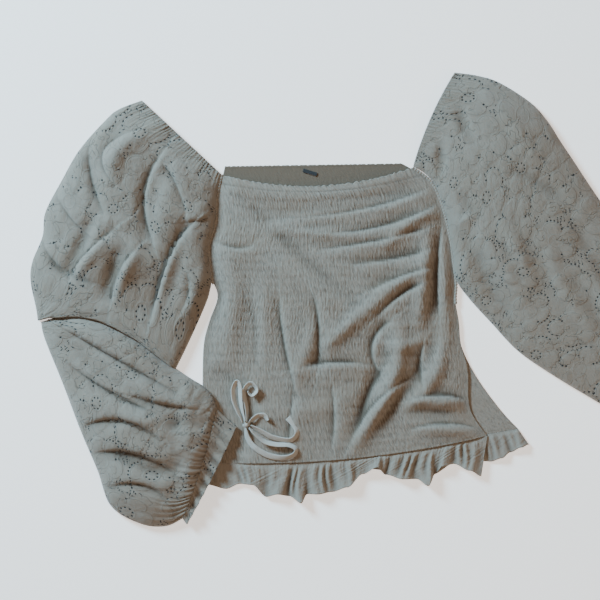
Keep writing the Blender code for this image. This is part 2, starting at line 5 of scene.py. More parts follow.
import bmesh
import bpy
import numpy as np
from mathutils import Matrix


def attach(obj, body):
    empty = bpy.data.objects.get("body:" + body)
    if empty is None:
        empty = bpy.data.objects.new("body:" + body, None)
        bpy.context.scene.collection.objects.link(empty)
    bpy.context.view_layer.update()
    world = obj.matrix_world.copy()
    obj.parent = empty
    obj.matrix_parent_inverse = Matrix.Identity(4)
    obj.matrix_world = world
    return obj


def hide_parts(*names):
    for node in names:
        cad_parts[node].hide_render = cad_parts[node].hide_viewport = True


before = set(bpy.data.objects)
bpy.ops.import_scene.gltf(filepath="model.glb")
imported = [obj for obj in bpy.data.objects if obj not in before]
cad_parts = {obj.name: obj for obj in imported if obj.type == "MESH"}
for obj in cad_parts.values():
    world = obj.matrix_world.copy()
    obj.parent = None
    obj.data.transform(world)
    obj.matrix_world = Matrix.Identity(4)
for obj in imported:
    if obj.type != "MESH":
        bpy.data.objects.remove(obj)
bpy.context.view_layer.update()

MM = 0.001
PHOTO_PIXELS = 600
PIXEL = 1.4
CAMERA_DISTANCE = 2600.0
FLOOR_DROP = 0.0006

# Cloth walls, the gap between two pieces and the levels that they lie on
COTTON_WALL = 2.0
FRILL_WALL = 1.4
LACE_WALL = 1.2
GAP = 0.3
FRONT_FLOOR = COTTON_WALL + GAP
BODY_LOFT = 3.2
EDGE_BAND = 0.10

# Where the folded sleeve's cuff presses the body flat, and how high it lies there
CUFF_PRESS_FROM = (-116, -150)
CUFF_PRESS_TO = (-160, -300)
CUFF_PRESS_REACH = 42
CUFF_PRESS_EDGE = 26
CUFF_PILE = 6.4
PILE_START_X = -178
PILE_RUN = 26

# Shirring: elastic rows, and the fine puckers between them
SHIRR_PITCH = 12.0
SHIRR_DEPTH = 0.40
PUCKER_PITCH = 3.4
PUCKER_DEPTH = 0.75
HEADER_DEPTH = 9.0

# Lace motif: a flower of broad petals set in staggered rows
FLOWER_PITCH = 66.0
FLOWER_ROW = 57.0
FLOWER_RADIUS = 32.0
FLOWER_EYE = 6.5

TAPE_WIDTH = 9.0
TAPE_THICKNESS = 1.0
REST_REACH = 9.0
SIDE_INSET = 3.5

# Body sections from the neckline to the top of the hem frill
# left x, left y, right x, right y, sag of the row in the middle
FRONT_SECTIONS = (
    (-109, 175, 157, 185, -21),
    (-115, 148, 186, 161, -14),
    (-118, 108, 202, 119, -6),
    (-127, 73, 209, 88, -2),
    (-123, 31, 217, 29, 0),
    (-115, 5, 217, 0, 0),
    (-126, -28, 222, -30, 0),
    (-134, -58, 225, -62, 0),
    (-136, -96, 235, -98, 0),
    (-136, -154, 238, -152, -4),
    (-134, -227, 262, -190, -14),
)

BACK_SECTIONS = (
    (-105, 187, 143, 191, 0),
    (-113, 150, 184, 163, 0),
    (-118, 108, 202, 119, 0),
    (-127, 73, 209, 88, 0),
    (-123, 31, 217, 29, 0),
    (-115, 5, 217, 0, 0),
    (-126, -28, 222, -30, 0),
    (-134, -58, 225, -62, 0),
    (-136, -96, 246, -106, 0),
    (-136, -154, 280, -153, -4),
    (-134, -222, 305, -180, -10),
)

# Folds of the front panel: start, middle, end, half width, height (troughs are below zero)
BODY_FOLDS = (
    (-109, 169, 20, 146, 160, 181, 14, 3.5),
    (-84, 140, 20, 112, 182, 172, 15, -3.0),
    (-35, 104, 42, 121, 157, 141, 11, 4.5),
    (-35, 100, 20, 93, 70, 91, 8, 3.0),
    (186, 126, 150, 106, 119, 77, 10, 5.0),
    (178, 58, 119, 8, 58, -42, 13, 6.5),
    (197, 112, 190, 20, 179, -46, 10, -3.2),
    (178, 88, 173, 21, 164, -30, 12, 7.0),
    (208, 100, 207, 20, 208, -60, 8, 3.5),
    (116, -26, 108, -100, 66, -206, 10, -3.5),
    (138, -40, 128, -118, 72, -204, 12, 8.5),
    (190, -40, 164, -104, 99, -186, 9, -3.2),
    (201, -60, 186, -110, 150, -150, 10, 5.0),
    (32, -20, 31, -60, 29, -102, 8, -3.0),
    (-8, -112, 10, -70, 20, -32, 12, 4.5),
    (-75, 4, -79, -50, -80, -110, 15, -2.5),
    (-52, 20, -52, -20, -54, -74, 13, 3.0),
    (148, -139, 195, -142, 238, -144, 9, 4.0),
    (148, -154, 195, -157, 234, -160, 7, -2.5),
    (150, -173, 200, -180, 250, -184, 9, 4.0),
)

# Hem frill of the front: place along the hem, reach of the free edge, lift of the free edge
FRONT_WAVES = (
    (-131, -258, 0),
    (-103, -264, 1),
    (-84, -257, 0),
    (-66, -258, 6),
    (-47, -275, 1),
    (-31, -271, 9),
    (-15, -274, 1),
    (2, -283, 10),
    (10, -271, 2),
    (25, -271, 8),
    (45, -268, 2),
    (66, -261, 9),
    (88, -243, 3),
    (107, -233, 11),
    (120, -244, 2),
    (144, -250, 8),
    (163, -250, 2),
    (179, -259, 10),
    (190, -241, 2),
    (198, -232, 8),
    (215, -229, 2),
    (237, -238, 8),
    (253, -246, 3),
)

BACK_WAVES = (
    (-128, -250, 0),
    (-90, -250, 0),
    (-50, -262, 0),
    (0, -270, 0),
    (50, -258, 0),
    (90, -236, 0),
    (140, -240, 0),
    (180, -246, 0),
    (225, -224, 0),
    (252, -225, 3),
    (267, -226, 0),
    (282, -221, 5),
    (294, -213, 1),
    (309, -206, 6),
    (320, -202, 2),
)

# Left sleeve, neck edge to elbow fold: outer x, outer y, inner x, inner y, sag, height
UPPER_SECTIONS = (
    (-221, 279, -109.6, 175.4, 0, 11),
    (-252, 267, -113.2, 162, 0, 15),
    (-270, 253, -115.8, 148, 0, 20),
    (-308, 210, -118.8, 108, 2, 26),
    (-334, 165, -127.8, 73, 4, 28),
    (-356, 122, -123.8, 31, 6, 28),
    (-360, 88, -126, 12, 9, 27),
    (-378, 42, -133, -10, 14, 25),
    (-371, 8, -150, -50, 18, 22),
    (-364, -24, -173, -95, 21, 17),
)

# The fold at the elbow, where the upper stretch goes under the folded one
ELBOW_FOLD = (
    (-366, -26),
    (-343, -23),
    (-288, -25),
    (-231, -52),
    (-190, -83),
    (-173, -94.4),
)
ELBOW_BLEND = 2.5

# The same fold where the upper cloth is tucked in under the edge that lies over it
ELBOW_TUCK = tuple((x - 0.7, y - 2.0) for x, y in ELBOW_FOLD)

UPPER_FOLDS = (
    (-291, 221, -288, 179, -279, 133, 10, -7.0),
    (-195, 242, -246, 214, -262, 171, 14, 7.0),
    (-188, 186, -206, 140, -210, 78, 15, -10.0),
    (-146, 168, -131, 140, -147, 112, 14, 5.0),
    (-156, 104, -172, 42, -190, -10, 12, -9.0),
    (-133, 63, -143, 11, -168, -31, 10, 6.0),
    (-270, 104, -290, 70, -312, 36, 12, 6.5),
    (-290, 109, -305, 76, -322, 42, 9, -5.5),
    (-228, 72, -242, 42, -256, 14, 11, 7.0),
    (-252, 66, -262, 34, -272, 4, 9, -6.0),
    (-252, 259, -282, 226, -286, 196, 10, 4.5),
    (-348, 60, -330, 40, -300, 30, 9, -5.0),
)

# The folded stretch, elbow to gathered cuff: edge on the fold, outer edge, sag, height
FOREARM_SECTIONS = (
    (-341, -24, -362, -31, 0, 9),
    (-288, -26, -356, -56, 0, 19),
    (-231, -53, -331, -118, 0, 26),
    (-190, -84, -306, -184, 0, 29),
    (-154, -108, -283, -238, 0, 30),
    (-136, -119, -264, -288, 0, 29),
    (-124, -131, -222, -313, 0, 26),
    (-118, -142, -187, -316, 0, 21),
    (-116, -151, -164, -305, 4, 13),
)

FOREARM_FOLDS = (
    (-300, -36, -231, -62, -170, -110, 12, 5.0),
    (-322, -58, -266, -106, -205, -152, 13, -8.0),
    (-250, -100, -200, -130, -150, -146, 12, 5.0),
    (-252, -182, -206, -170, -176, -206, 15, 6.0),
    (-262, -206, -214, -236, -172, -232, 12, -7.0),
    (-262, -240, -224, -276, -189, -292, 15, 5.0),
    (-128, -176, -160, -172, -220, -176, 10, -5.0),
    (-330, -150, -300, -140, -270, -146, 11, 4.0),
)

# Right sleeve, neck edge to gathered cuff: outer edge, inner edge, sag, height
RIGHT_SECTIONS = (
    (216, 318, 158.3, 186.6, 5, 11),
    (250, 313, 173.8, 177.2, 5, 16),
    (280, 303, 187.2, 162.2, 4, 21),
    (322, 276, 196.9, 140, 2, 26),
    (346, 250, 203.1, 119.3, 0, 28),
    (364, 222, 209.8, 88.3, 0, 29),
    (374, 207, 214.2, 58.4, 0, 29),
    (384, 192, 217.8, 29, 0, 29),
    (409, 154, 237, 1, 0, 29),
    (445, 101, 268, -33, 0, 28),
    (483, 45, 304, -71, 0, 28),
    (521, -11, 353, -105, 0, 27),
    (554, -60, 406, -137, 0, 26),
    (580, -100, 455, -166, 0, 24),
    (596, -128, 490, -190, 0, 20),
    (594, -144, 512, -212, 0, 12),
)

RIGHT_FOLDS = (
    (221, 266, 228, 244, 241, 222, 9, -5.0),
    (196, 214, 196, 194, 196, 172, 8, -6.0),
    (282, 104, 302, 66, 322, 22, 12, 7.0),
    (301, 178, 338, 160, 376, 132, 11, -6.0),
    (221, 153, 236, 132, 251, 110, 9, -5.0),
    (229, 86, 262, 22, 292, -30, 12, -9.0),
    (245, 105, 280, 50, 330, -36, 12, 5.0),
    (238, 294, 286, 262, 324, 208, 13, 6.0),
    (210, 104, 226, 110, 240, 118, 8, 4.5),
    (380, 110, 420, 40, 470, -20, 14, -7.0),
    (400, 60, 440, -30, 500, -110, 13, 6.0),
    (450, 60, 490, 0, 540, -80, 13, -7.0),
    (340, 80, 370, 10, 420, -60, 13, 5.0),
)

LEFT_CUFF_SECTIONS = (
    (-104, -163, -161, -309, 4, 9),
    (-88, -176, -158, -313, 2, 10),
)

RIGHT_CUFF_SECTIONS = (
    (605, -157, 519, -228, 0, 10),
    (614, -170, 522, -245, 0, 13),
)
CUFF_WAVES = 9
CUFF_WAVE_HEIGHT = 2.6

# The bow's stretches of tape: x, y, lift above the cloth, tilt of the tape (90 stands on its edge)
BOW_KNOT = (-75, -174)
BOW_LOOP_UPPER = (
    (-80.3, -170.7, 1, 82),
    (-82, -164, 2, 80),
    (-86, -156, 3, 76),
    (-92, -140, 3, 72),
    (-93, -124, 3, 74),
    (-88, -114, 3, 76),
    (-84, -122, 3, 78),
    (-83, -138, 3, 80),
    (-81, -152, 3, 82),
    (-76.7, -169.7, 1, 86),
)
BOW_LOOP_LOWER = (
    (-75.8, -178.4, 2.4, 80),
    (-73, -192, 2, 45),
    (-64, -205, 2, 30),
    (-46, -216, 2, 28),
    (-27, -220, 2, 48),
    (-11, -217, 2, 76),
    (-5, -208.5, 2, 84),
    (-15, -202, 2, 82),
    (-34, -201, 2, 74),
    (-51, -196, 2, 72),
    (-71, -177.9, 2.4, 84),
)
BOW_TAIL_CURLED = (
    (-74, -169.6, 1, 84),
    (-74, -154, 2, 82),
    (-77, -138, 2, 82),
    (-78, -126, 2, 84),
    (-69, -116, 2, 86),
    (-60, -125, 2, 86),
    (-67, -133, 2, 86),
    (-73, -127, 2, 86),
)
BOW_TAIL_SHORT = (
    (-71.1, -171, 1, 82),
    (-60, -162, 2, 72),
    (-50, -161, 2, 62),
    (-45, -168, 1, 70),
)
BOW_TAIL_LONG = (
    (-68.8, -174.6, 1, 82),
    (-54, -183, 2, 60),
    (-36, -192, 2, 62),
    (-13, -195, 2, 68),
    (-4, -185, 2, 62),
    (-8, -174, 1, 35),
    (-17, -164, 1, 15),
)

RIGHT_KNOT = (507, -232)
RIGHT_BOW_TURN = -174
RIGHT_TIE_LEAD = (
    (515.4, -221, 1, 80),
    (514.2, -225.4, 1, 82),
    (511.2, -228.6, 1, 84),
)

# Colours of the cloth in its own light tone, and the painted shade that darkens it down in its folds
COTTON_LIGHT = (0.285, 0.240, 0.200)
COTTON_PAINTED_SHADE = (0.085, 0.064, 0.047)
LACE_LIGHT = (0.250, 0.208, 0.170)
LACE_PAINTED_SHADE = (0.068, 0.051, 0.037)
# Painted shade for the back's neck band, which lies lower, under the front's neckline
BACK_BAND_PAINTED_SHADE = (0.150, 0.108, 0.076)
TAPE_LIGHT = (0.50, 0.455, 0.41)
# Painted shade seen through the lace's small holes
HOLE_PAINTED_SHADE = (0.012, 0.010, 0.009)
LABEL_DARK = (0.008, 0.008, 0.010)


def smooth_step(value):
    value = np.clip(value, 0, 1)
    return value * value * (3 - 2 * value)


def blend(a, b, t):
    return a + (b - a) * t


def stations(table, count, columns=(0, 1, 2, 3)):
    # Row numbers spaced evenly along the table's own length
    rows = np.array(table, float)[:, list(columns)]
    lengths = np.concatenate(([0], np.cumsum(np.linalg.norm(np.diff(rows, axis=0), axis=1))))
    wanted = np.linspace(0, lengths[-1], count + 1)
    return np.interp(wanted, lengths, np.arange(len(table)))


def spline(table, at):
    # Catmull-Rom through the table's rows, read at whole or broken row numbers
    table = np.array(table, float)
    last = len(table) - 1
    at = np.asarray(at, float)
    row = np.minimum(at.astype(int), last - 1)
    t = (at - row)[..., None]
    before = table[np.maximum(row - 1, 0)]
    start = table[row]
    end = table[row + 1]
    after = table[np.minimum(row + 2, last)]
    bend = 2 * before - 5 * start + 4 * end - after
    twist = 3 * (start - end) + after - before
    return 0.5 * (2 * start + (end - before) * t + bend * t ** 2 + twist * t ** 3)


def fold_path(fold, pieces=6):
    # A bend through the fold's start, middle and end
    x0, y0, xm, ym, x1, y1 = fold[:6]
    t = np.linspace(0, 1, pieces + 1)
    bend_x = 2 * xm - 0.5 * (x0 + x1)
    bend_y = 2 * ym - 0.5 * (y0 + y1)
    a, b, c = (1 - t) ** 2, 2 * t * (1 - t), t * t
    return np.stack((a * x0 + b * bend_x + c * x1, a * y0 + b * bend_y + c * y1), axis=1)


def along_path(path, x, y):
    # Signed distance from a path (left of its way is above zero) and how far along it, 0 to 1
    best = np.full(np.shape(x), 1e9)
    signed = np.zeros(np.shape(x))
    along = np.zeros(np.shape(x))
    pieces = len(path) - 1
    for i in range(pieces):
        ax, ay = path[i]
        dx, dy = path[i + 1] - path[i]
        t = np.clip(((x - ax) * dx + (y - ay) * dy) / (dx * dx + dy * dy), 0, 1)
        off_x, off_y = x - ax - t * dx, y - ay - t * dy
        distance = np.hypot(off_x, off_y)
        side = np.sign(dx * off_y - dy * off_x)
        closer = distance < best
        best = np.where(closer, distance, best)
        signed = np.where(closer, distance * side, signed)
        along = np.where(closer, (i + t) / pieces, along)
    return signed, along


def fold_height(folds, x, y):
    total = np.zeros(np.shape(x))
    for fold in folds:
        distance, along = along_path(fold_path(fold), x, y)
        taper = np.sin(math.pi * np.clip(0.12 + 0.76 * along, 0, 1))
        total += fold[7] * taper * np.exp(-(distance / fold[6]) ** 2)
    return total


def roll_height(rolls, x, y):
    # Creases with a roll of cloth on one side: the cloth slopes down into the crease from the right of
    # its way and stands up out of it on the left
    total = np.zeros(np.shape(x))
    for roll in rolls:
        slope_reach, depth, roll_reach, height = roll[6:]
        distance, along = along_path(fold_path(roll, 10), x, y)
        taper = np.sin(math.pi * np.clip(0.03 + 0.94 * along, 0, 1)) ** 0.7
        beyond = np.maximum(distance, 0) / roll_reach
        before = np.maximum(-distance, 0) / slope_reach
        total -= depth * taper * np.where(distance > 0, np.exp(-distance / 2.4), np.exp(-before))
        total += height * taper * beyond * np.exp(1 - beyond)
    return total


def uneven_wave(place, pitch, seed, spread=0.35):
    # A wave along a length whose pitch and height are uneven, between -1 and 1
    made = np.random.default_rng(seed)
    shift = np.zeros(np.shape(place))
    swell = np.ones(np.shape(place))
    for part in (2.7, 4.3, 7.9):
        a, b = made.uniform(0, 2 * math.pi, 2)
        shift += spread * np.sin(place * 2 * math.pi / (pitch * part) + a)
        swell += 0.28 * np.sin(place * 2 * math.pi / (pitch * part * 1.31) + b)
    start = made.uniform(0, 2 * math.pi)
    return np.sin(place * 2 * math.pi / pitch + 2.2 * shift + start) * np.clip(swell, 0.2, 1.6) / 1.6


def body_rows(sections, at, across):
    left_x, left_y, right_x, right_y, sag = spline(sections, at).T[:, :, None]
    x = blend(left_x, right_x, across)
    y = blend(left_y, right_y, across) + sag * 4 * across * (1 - across)
    return x, y


def cuff_clearance(x, y):
    # 0 under the folded sleeve's cuff, 1 away from it
    path = np.array((CUFF_PRESS_FROM, CUFF_PRESS_TO), float)
    away, _ = along_path(path, x, y)
    return smooth_step((np.abs(away) - CUFF_PRESS_REACH) / CUFF_PRESS_EDGE)


def front_lift(x, y, across):
    # Height of the front panel's underside above its lowest level
    edge = smooth_step(np.minimum(across, 1 - across) / EDGE_BAND)
    lift = BODY_LOFT + fold_height(BODY_FOLDS, x, y)
    return np.maximum(lift, 0) * edge * cuff_clearance(x, y)


def box_blur(values, reach_rows, reach_columns):
    # Mean over a window, with the edges repeated
    result = values
    for axis, reach in ((0, reach_rows), (1, reach_columns)):
        if reach < 1:
            continue
        ends = [(0, 0), (0, 0)]
        ends[axis] = (reach + 1, reach)
        padded = np.cumsum(np.pad(result, ends, mode="edge"), axis=axis)
        size = values.shape[axis]
        high = np.take(padded, np.arange(2 * reach + 1, 2 * reach + 1 + size), axis=axis)
        low = np.take(padded, np.arange(0, size), axis=axis)
        result = (high - low) / (2 * reach + 1)
    return result


def hollow_share(points, reach, scale):
    # How far each point lies below the cloth around it, 0 to 1; the materials paint shade by it
    z = points[..., 2]
    spacing = np.linalg.norm(points[1:, :, :2] - points[:-1, :, :2], axis=2).mean()
    spacing_across = np.linalg.norm(points[:, 1:, :2] - points[:, :-1, :2], axis=2).mean()
    rows = max(int(round(reach / spacing)), 1)
    columns = max(int(round(reach / spacing_across)), 1)
    around = box_blur(box_blur(z, rows, columns), rows, columns)
    return np.clip((around - z) / scale, 0, 1)


def make_object(name, vertices, faces, uv=None, hollow=None, tone=None, smooth=True):
    mesh = bpy.data.meshes.new(name)
    mesh.from_pydata((np.asarray(vertices) * MM).tolist(), [], faces)
    shaped = bmesh.new()
    shaped.from_mesh(mesh)
    bmesh.ops.recalc_face_normals(shaped, faces=shaped.faces)
    shaped.to_mesh(mesh)
    shaped.free()
    if smooth:
        mesh.shade_smooth()
    if uv is not None:
        corners = np.empty(len(mesh.loops), dtype=np.int32)
        mesh.loops.foreach_get("vertex_index", corners)
        layer = mesh.uv_layers.new(name="cloth")
        layer.data.foreach_set("uv", (np.asarray(uv) * MM)[corners].astype(np.float32).ravel())
    for label, values in (("hollow", hollow), ("tone", tone)):
        if values is None:
            continue
        layer = mesh.attributes.new(label, "FLOAT", "POINT")
        layer.data.foreach_set("value", np.asarray(values, np.float32).ravel())
    made = bpy.data.objects.new(name, mesh)
    bpy.context.scene.collection.objects.link(made)
    return made


def lowest_in_window(z, step):
    # The least height around each point that the coarser underside keeps
    low = z.copy()
    for axis in (0, 1):
        parts = [low]
        for shift in range(1, step + 1):
            for way in (shift, -shift):
                moved = np.roll(low, way, axis=axis)
                edge = [slice(None), slice(None)]
                edge[axis] = slice(0, shift) if way > 0 else slice(-shift, None)
                moved[tuple(edge)] = low[tuple(edge)]
                parts.append(moved)
        low = np.minimum.reduce(parts)
    return low[::step, ::step]


def border_faces(outer, inner, step, count):
    # Faces between a fine edge and a coarser one that share their ends
    faces = []
    for k in range(0, count, step):
        fine = [outer(j) for j in range(k, k + step + 1)]
        faces.append((*fine, inner(k + step), inner(k)))
    return faces


def cloth_shell(name, top, wall, step, uv, floor, hollow=None, tone=None):
    # A closed sheet: a fine upper side over a coarser underside
    rows, columns = top.shape[0] - 1, top.shape[1] - 1
    below = top[::step, ::step].copy()
    below[..., 2] = np.maximum(lowest_in_window(top[..., 2], step) - wall, floor)
    low_rows, low_columns = below.shape[:2]
    first = top.shape[0] * top.shape[1]
    index = np.arange(first).reshape(top.shape[:2])
    quads = np.stack((index[:-1, :-1], index[1:, :-1], index[1:, 1:], index[:-1, 1:]), axis=-1)
    faces = quads.reshape(-1, 4).tolist()
    low = first + np.arange(low_rows * low_columns).reshape(low_rows, low_columns)
    quads = np.stack((low[:-1, :-1], low[:-1, 1:], low[1:, 1:], low[1:, :-1]), axis=-1)
    faces += quads.reshape(-1, 4).tolist()
    for c in (0, columns):
        faces += border_faces(lambda k: int(index[k, c]),
                              lambda k: int(low[k // step, c // step]), step, rows)
    for r in (0, rows):
        faces += border_faces(lambda k: int(index[r, k]),
                              lambda k: int(low[r // step, k // step]), step, columns)
    vertices = np.concatenate((top.reshape(-1, 3), below.reshape(-1, 3)))
    coordinates = np.concatenate((uv.reshape(-1, 2), uv[::step, ::step].reshape(-1, 2)))
    both = []
    for values in (hollow, tone):
        if values is None:
            values = np.zeros(top.shape[:2])
        both.append(np.concatenate((values.ravel(), values[::step, ::step].ravel())))
    return make_object(name, vertices, faces, coordinates, both[0], both[1])


def shirred_relief(u, v, seed):
    # Elastic rows pull the cloth in; between them it stands in short uneven puckers
    row = v / SHIRR_PITCH
    between = np.abs(np.sin(math.pi * row))
    half = np.floor(2 * row).astype(int)
    pucker = np.zeros(np.shape(u))
    for line in np.unique(half):
        here = half == line
        pucker[here] = uneven_wave(u[here], PUCKER_PITCH, seed + int(line), 0.5)
    bulge = np.abs(np.sin(2 * math.pi * row)) ** 0.6
    return SHIRR_DEPTH * (between ** 0.6 - 0.6) + PUCKER_DEPTH * pucker * (0.35 + 0.65 * bulge)


def front_points(rows, columns):
    at = stations(FRONT_SECTIONS, rows)
    across = np.linspace(0, 1, columns + 1)[None, :]
    x, y = body_rows(FRONT_SECTIONS, at, across)
    return at, across, x, y


# Creases of the front: start, middle, end, reach of the slope into the crease, its depth,
# reach of the roll beyond it, its height
FRONT_ROLLS = (
    (175, 155, 95, 129, -3, 115, 10, 2.0, 9, 3.5),
    (198, 138, 123, 106, 43, 94, 10, 2.5, 9, 4.0),
    (175, 100, 106, 83, 26, 71, 9, 2.0, 8, 3.5),
    (175, 69, 123, 57, 72, 51, 8, 2.0, 8, 3.5),
    (184, 46, 141, 34, 98, 14, 8, 2.5, 8, 4.5),
    (175, 25, 141, 8, 106, -24, 9, 2.5, 9, 4.5),
    (200, 115, 191, 40, 194, -24, 7, 4.0, 8, 3.0),
    (125, -29, 100, -64, 113, -107, 12, 6.0, 9, 3.5),
    (115, -98, 95, -133, 85, -173, 10, 4.0, 9, 3.0),
    (158, -107, 104, -144, 67, -205, 8, 4.0, 9, 2.5),
    (172, -61, 167, -90, 171, -121, 8, 4.5, 7, 2.0),
    (19, 2, 26, -41, 24, -101, 10, 4.0, 10, 4.0),
    (-29, 5, -24, -52, -6, -133, 12, 3.0, 10, 3.0),
    (98, -90, 49, -86, 0, -94, 8, 3.0, 9, 4.0),
    (240, -144, 198, -132, 149, -140, 8, 3.0, 8, 3.5),
    (250, -179, 198, -172, 149, -182, 7, 3.0, 8, 3.0),
    (-10, -133, -14, -173, -16, -214, 10, 2.5, 9, 2.5),
    (44, -121, 47, -167, 43, -208, 10, 2.5, 9, 3.0),
    (-61, 80, -89, 73, -124, 86, 8, 2.0, 8, 2.5),
)

# Softer swells and troughs of the front: start, middle, end, half width, height
FRONT_SWELLS = (
    (-61, 123, -3, 66, 77, -1, 11, -4.0),
    (-107, 74, -96, 5, -101, -70, 17, 4.0),
    (115, -58, 144, -65, 171, -53, 9, 4.0),
    (75, -26, 54, -49, 28, -67, 9, 3.5),
    (-61, -144, 3, -156, 72, -133, 14, 2.5),
    (-38, 51, -3, 34, 43, -6, 12, 3.0),
    (-66, -6, -61, -47, -66, -98, 10, -3.0),
    (210, 86, 217, 34, 214, -24, 9, 3.0),
)


def build_front_panel():
    rows, columns = 165, 288
    at, across, x, y = front_points(rows, columns)
    u = blend(-0.5, 0.5, across) * np.hypot(x[:, -1:] - x[:, :1], y[:, -1:] - y[:, :1])
    middle = columns // 2
    steps = np.hypot(np.diff(x[:, middle]), np.diff(y[:, middle]))
    v = np.concatenate(([0], np.cumsum(steps)))[:, None] + 0 * u
    u = u + 0 * v
    z = FRONT_FLOOR + COTTON_WALL + front_lift(x, y, np.broadcast_to(across, x.shape))
    edge = smooth_step(np.minimum(across, 1 - across) / 0.05)
    open_cloth = edge * cuff_clearance(x, y)
    z = z + (1.6 + roll_height(FRONT_ROLLS, x, y) + fold_height(FRONT_SWELLS, x, y)) * open_cloth
    relief = shirred_relief(u, v + 1.8 * np.sin(u / 31 + v / 80) + 0.8 * np.sin(u / 11 + v / 37), 100)
    header = 1 - smooth_step((v - HEADER_DEPTH + 2) / 2.5)
    ruffle = uneven_wave(u, 11.0, 5)
    ruffle_lift = 0.9 * ruffle + 0.5 * uneven_wave(u, 4.2, 9)
    relief = relief * (1 - header) + header * ruffle_lift * (1 - v / HEADER_DEPTH)
    gathered = np.exp(-((v - HEADER_DEPTH - 7) / 8.0) ** 2)
    relief += 0.5 * gathered * uneven_wave(u, 3.8, 17, 0.25)
    stitch_line = np.exp(-((v - HEADER_DEPTH) / 1.0) ** 2)
    relief -= 0.7 * stitch_line
    smooth_part = smooth_patch(x, y)
    relief = relief * (1 - 0.3 * smooth_part)
    z = z + relief * (0.35 + 0.65 * edge)
    y = y + header * (1 - v / HEADER_DEPTH) * 1.3 * uneven_wave(u, 9.0, 23)
    z = np.maximum(z, FRONT_FLOOR + 0.8)
    top = np.stack((x, y, z), axis=-1)
    # Painted shade share: the folds' hollows and the stitch line's groove
    hollow = 0.75 * hollow_share(top, 9.0, 3.2) + 0.35 * hollow_share(top, 2.2, 0.7) + 0.3 * stitch_line
    uv = np.stack((u, v), axis=-1)
    return cloth_shell("front_cloth", top, 1.0, 3, uv, FRONT_FLOOR, np.clip(hollow, 0, 1))


def build_armhole_seams(finish):
    # Overlocked seam allowances between the body and the sleeves, neck to underarm
    seams = []
    for name, side, last, out in (("left_armhole_seam", 0, 4.3, -0.4), ("right_armhole_seam", 2, 5.2, 0.5)):
        steps = 220
        at = np.linspace(0, last, steps + 1)
        rows = spline(FRONT_SECTIONS, at)
        path = np.stack((rows[:, side] + out, rows[:, side + 1], 4.3 + 0 * at), axis=1)
        run = np.concatenate(([0], np.cumsum(np.linalg.norm(np.diff(path, axis=0), axis=1))))
        seams.append(seam_cord(name, path, run))
        dress(seams[-1], finish, "plain_cotton")
    return seams


def seam_cord(name, path, run):
    # A ridge of cloth with the small waves that its overlock stitches pull into it
    sides = 10
    direction = np.gradient(path[:, :2], axis=0)
    direction /= np.linalg.norm(direction, axis=1, keepdims=True)
    vertices, uv = [], []
    for i, (x, y, z) in enumerate(path):
        wide = 1.9 + 0.35 * math.sin(run[i] * 2 * math.pi / 4.2)
        high = 1.5 + 0.35 * math.sin(run[i] * 2 * math.pi / 4.2 + 0.8)
        sway = 0.35 * math.sin(run[i] / 9.0)
        for k in range(sides):
            angle = 2 * math.pi * k / sides
            across = wide * math.cos(angle) + sway
            vertices.append((x - direction[i, 1] * across,
                             y + direction[i, 0] * across,
                             z + high * math.sin(angle)))
            uv.append((k * 1.1, run[i]))
    faces = []
    for i in range(len(path) - 1):
        for k in range(sides):
            a, b = i * sides + k, i * sides + (k + 1) % sides
            faces.append((a, b, b + sides, a + sides))
    faces.append(tuple(range(sides)))
    faces.append(tuple(range(len(path) * sides - sides, len(path) * sides)))
    return make_object(name, vertices, faces, uv, np.zeros(len(vertices)), np.zeros(len(vertices)))


def smooth_patch(x, y):
    # The lower right of the front is not shirred as closely and lies smoother
    path = fold_path((170, -128, 205, -160, 250, -196))
    away, _ = along_path(path, x, y)
    return 1 - smooth_step((np.abs(away) - 12) / 30)


def build_back_panel():
    rows, columns = 150, 180
    at = stations(BACK_SECTIONS, rows)
    across = np.linspace(0, 1, columns + 1)[None, :]
    x, y = body_rows(BACK_SECTIONS, at, across)
    u = (across - 0.5) * np.hypot(x[:, -1:] - x[:, :1], y[:, -1:] - y[:, :1])
    middle = columns // 2
    steps = np.hypot(np.diff(x[:, middle]), np.diff(y[:, middle]))
    v = np.concatenate(([0], np.cumsum(steps)))[:, None] + 0 * u
    u = u + 0 * v
    relief = 0.3 * shirred_relief(u, v, 300) - 0.15
    rolled_edge = np.exp(-((v - 1.4) / 1.2) ** 2)
    z = COTTON_WALL - 0.25 + np.minimum(relief, 0.2) * (1 - rolled_edge) + 0.4 * rolled_edge
    y = y + 0.5 * np.exp(-v / 1.5) * np.sin(u * 2 * math.pi / 6.3)
    top = np.stack((x, y, z), axis=-1)
    # Painted shade on the back's neck band under the front's neckline: full over the top 30 mm, gone by 60 mm
    inside = 1 - smooth_step((v - 30) / 30)
    hollow = np.clip(0.6 * hollow_share(top, 2.5, 0.5), 0, 1)
    uv = np.stack((u, v), axis=-1)
    return cloth_shell("back_cloth", top, 1.0, 3, uv, 0.0, hollow, inside)


def wave_at(waves, x):
    # Free edge's reach and lift along the hem, easing from crest to trough
    table = np.array(waves, float)
    row = np.clip(np.searchsorted(table[:, 0], x) - 1, 0, len(table) - 2)
    t = smooth_step((x - table[row, 0]) / (table[row + 1, 0] - table[row, 0]))
    return blend(table[row, 1], table[row + 1, 1], t), blend(table[row, 2], table[row + 1, 2], t)


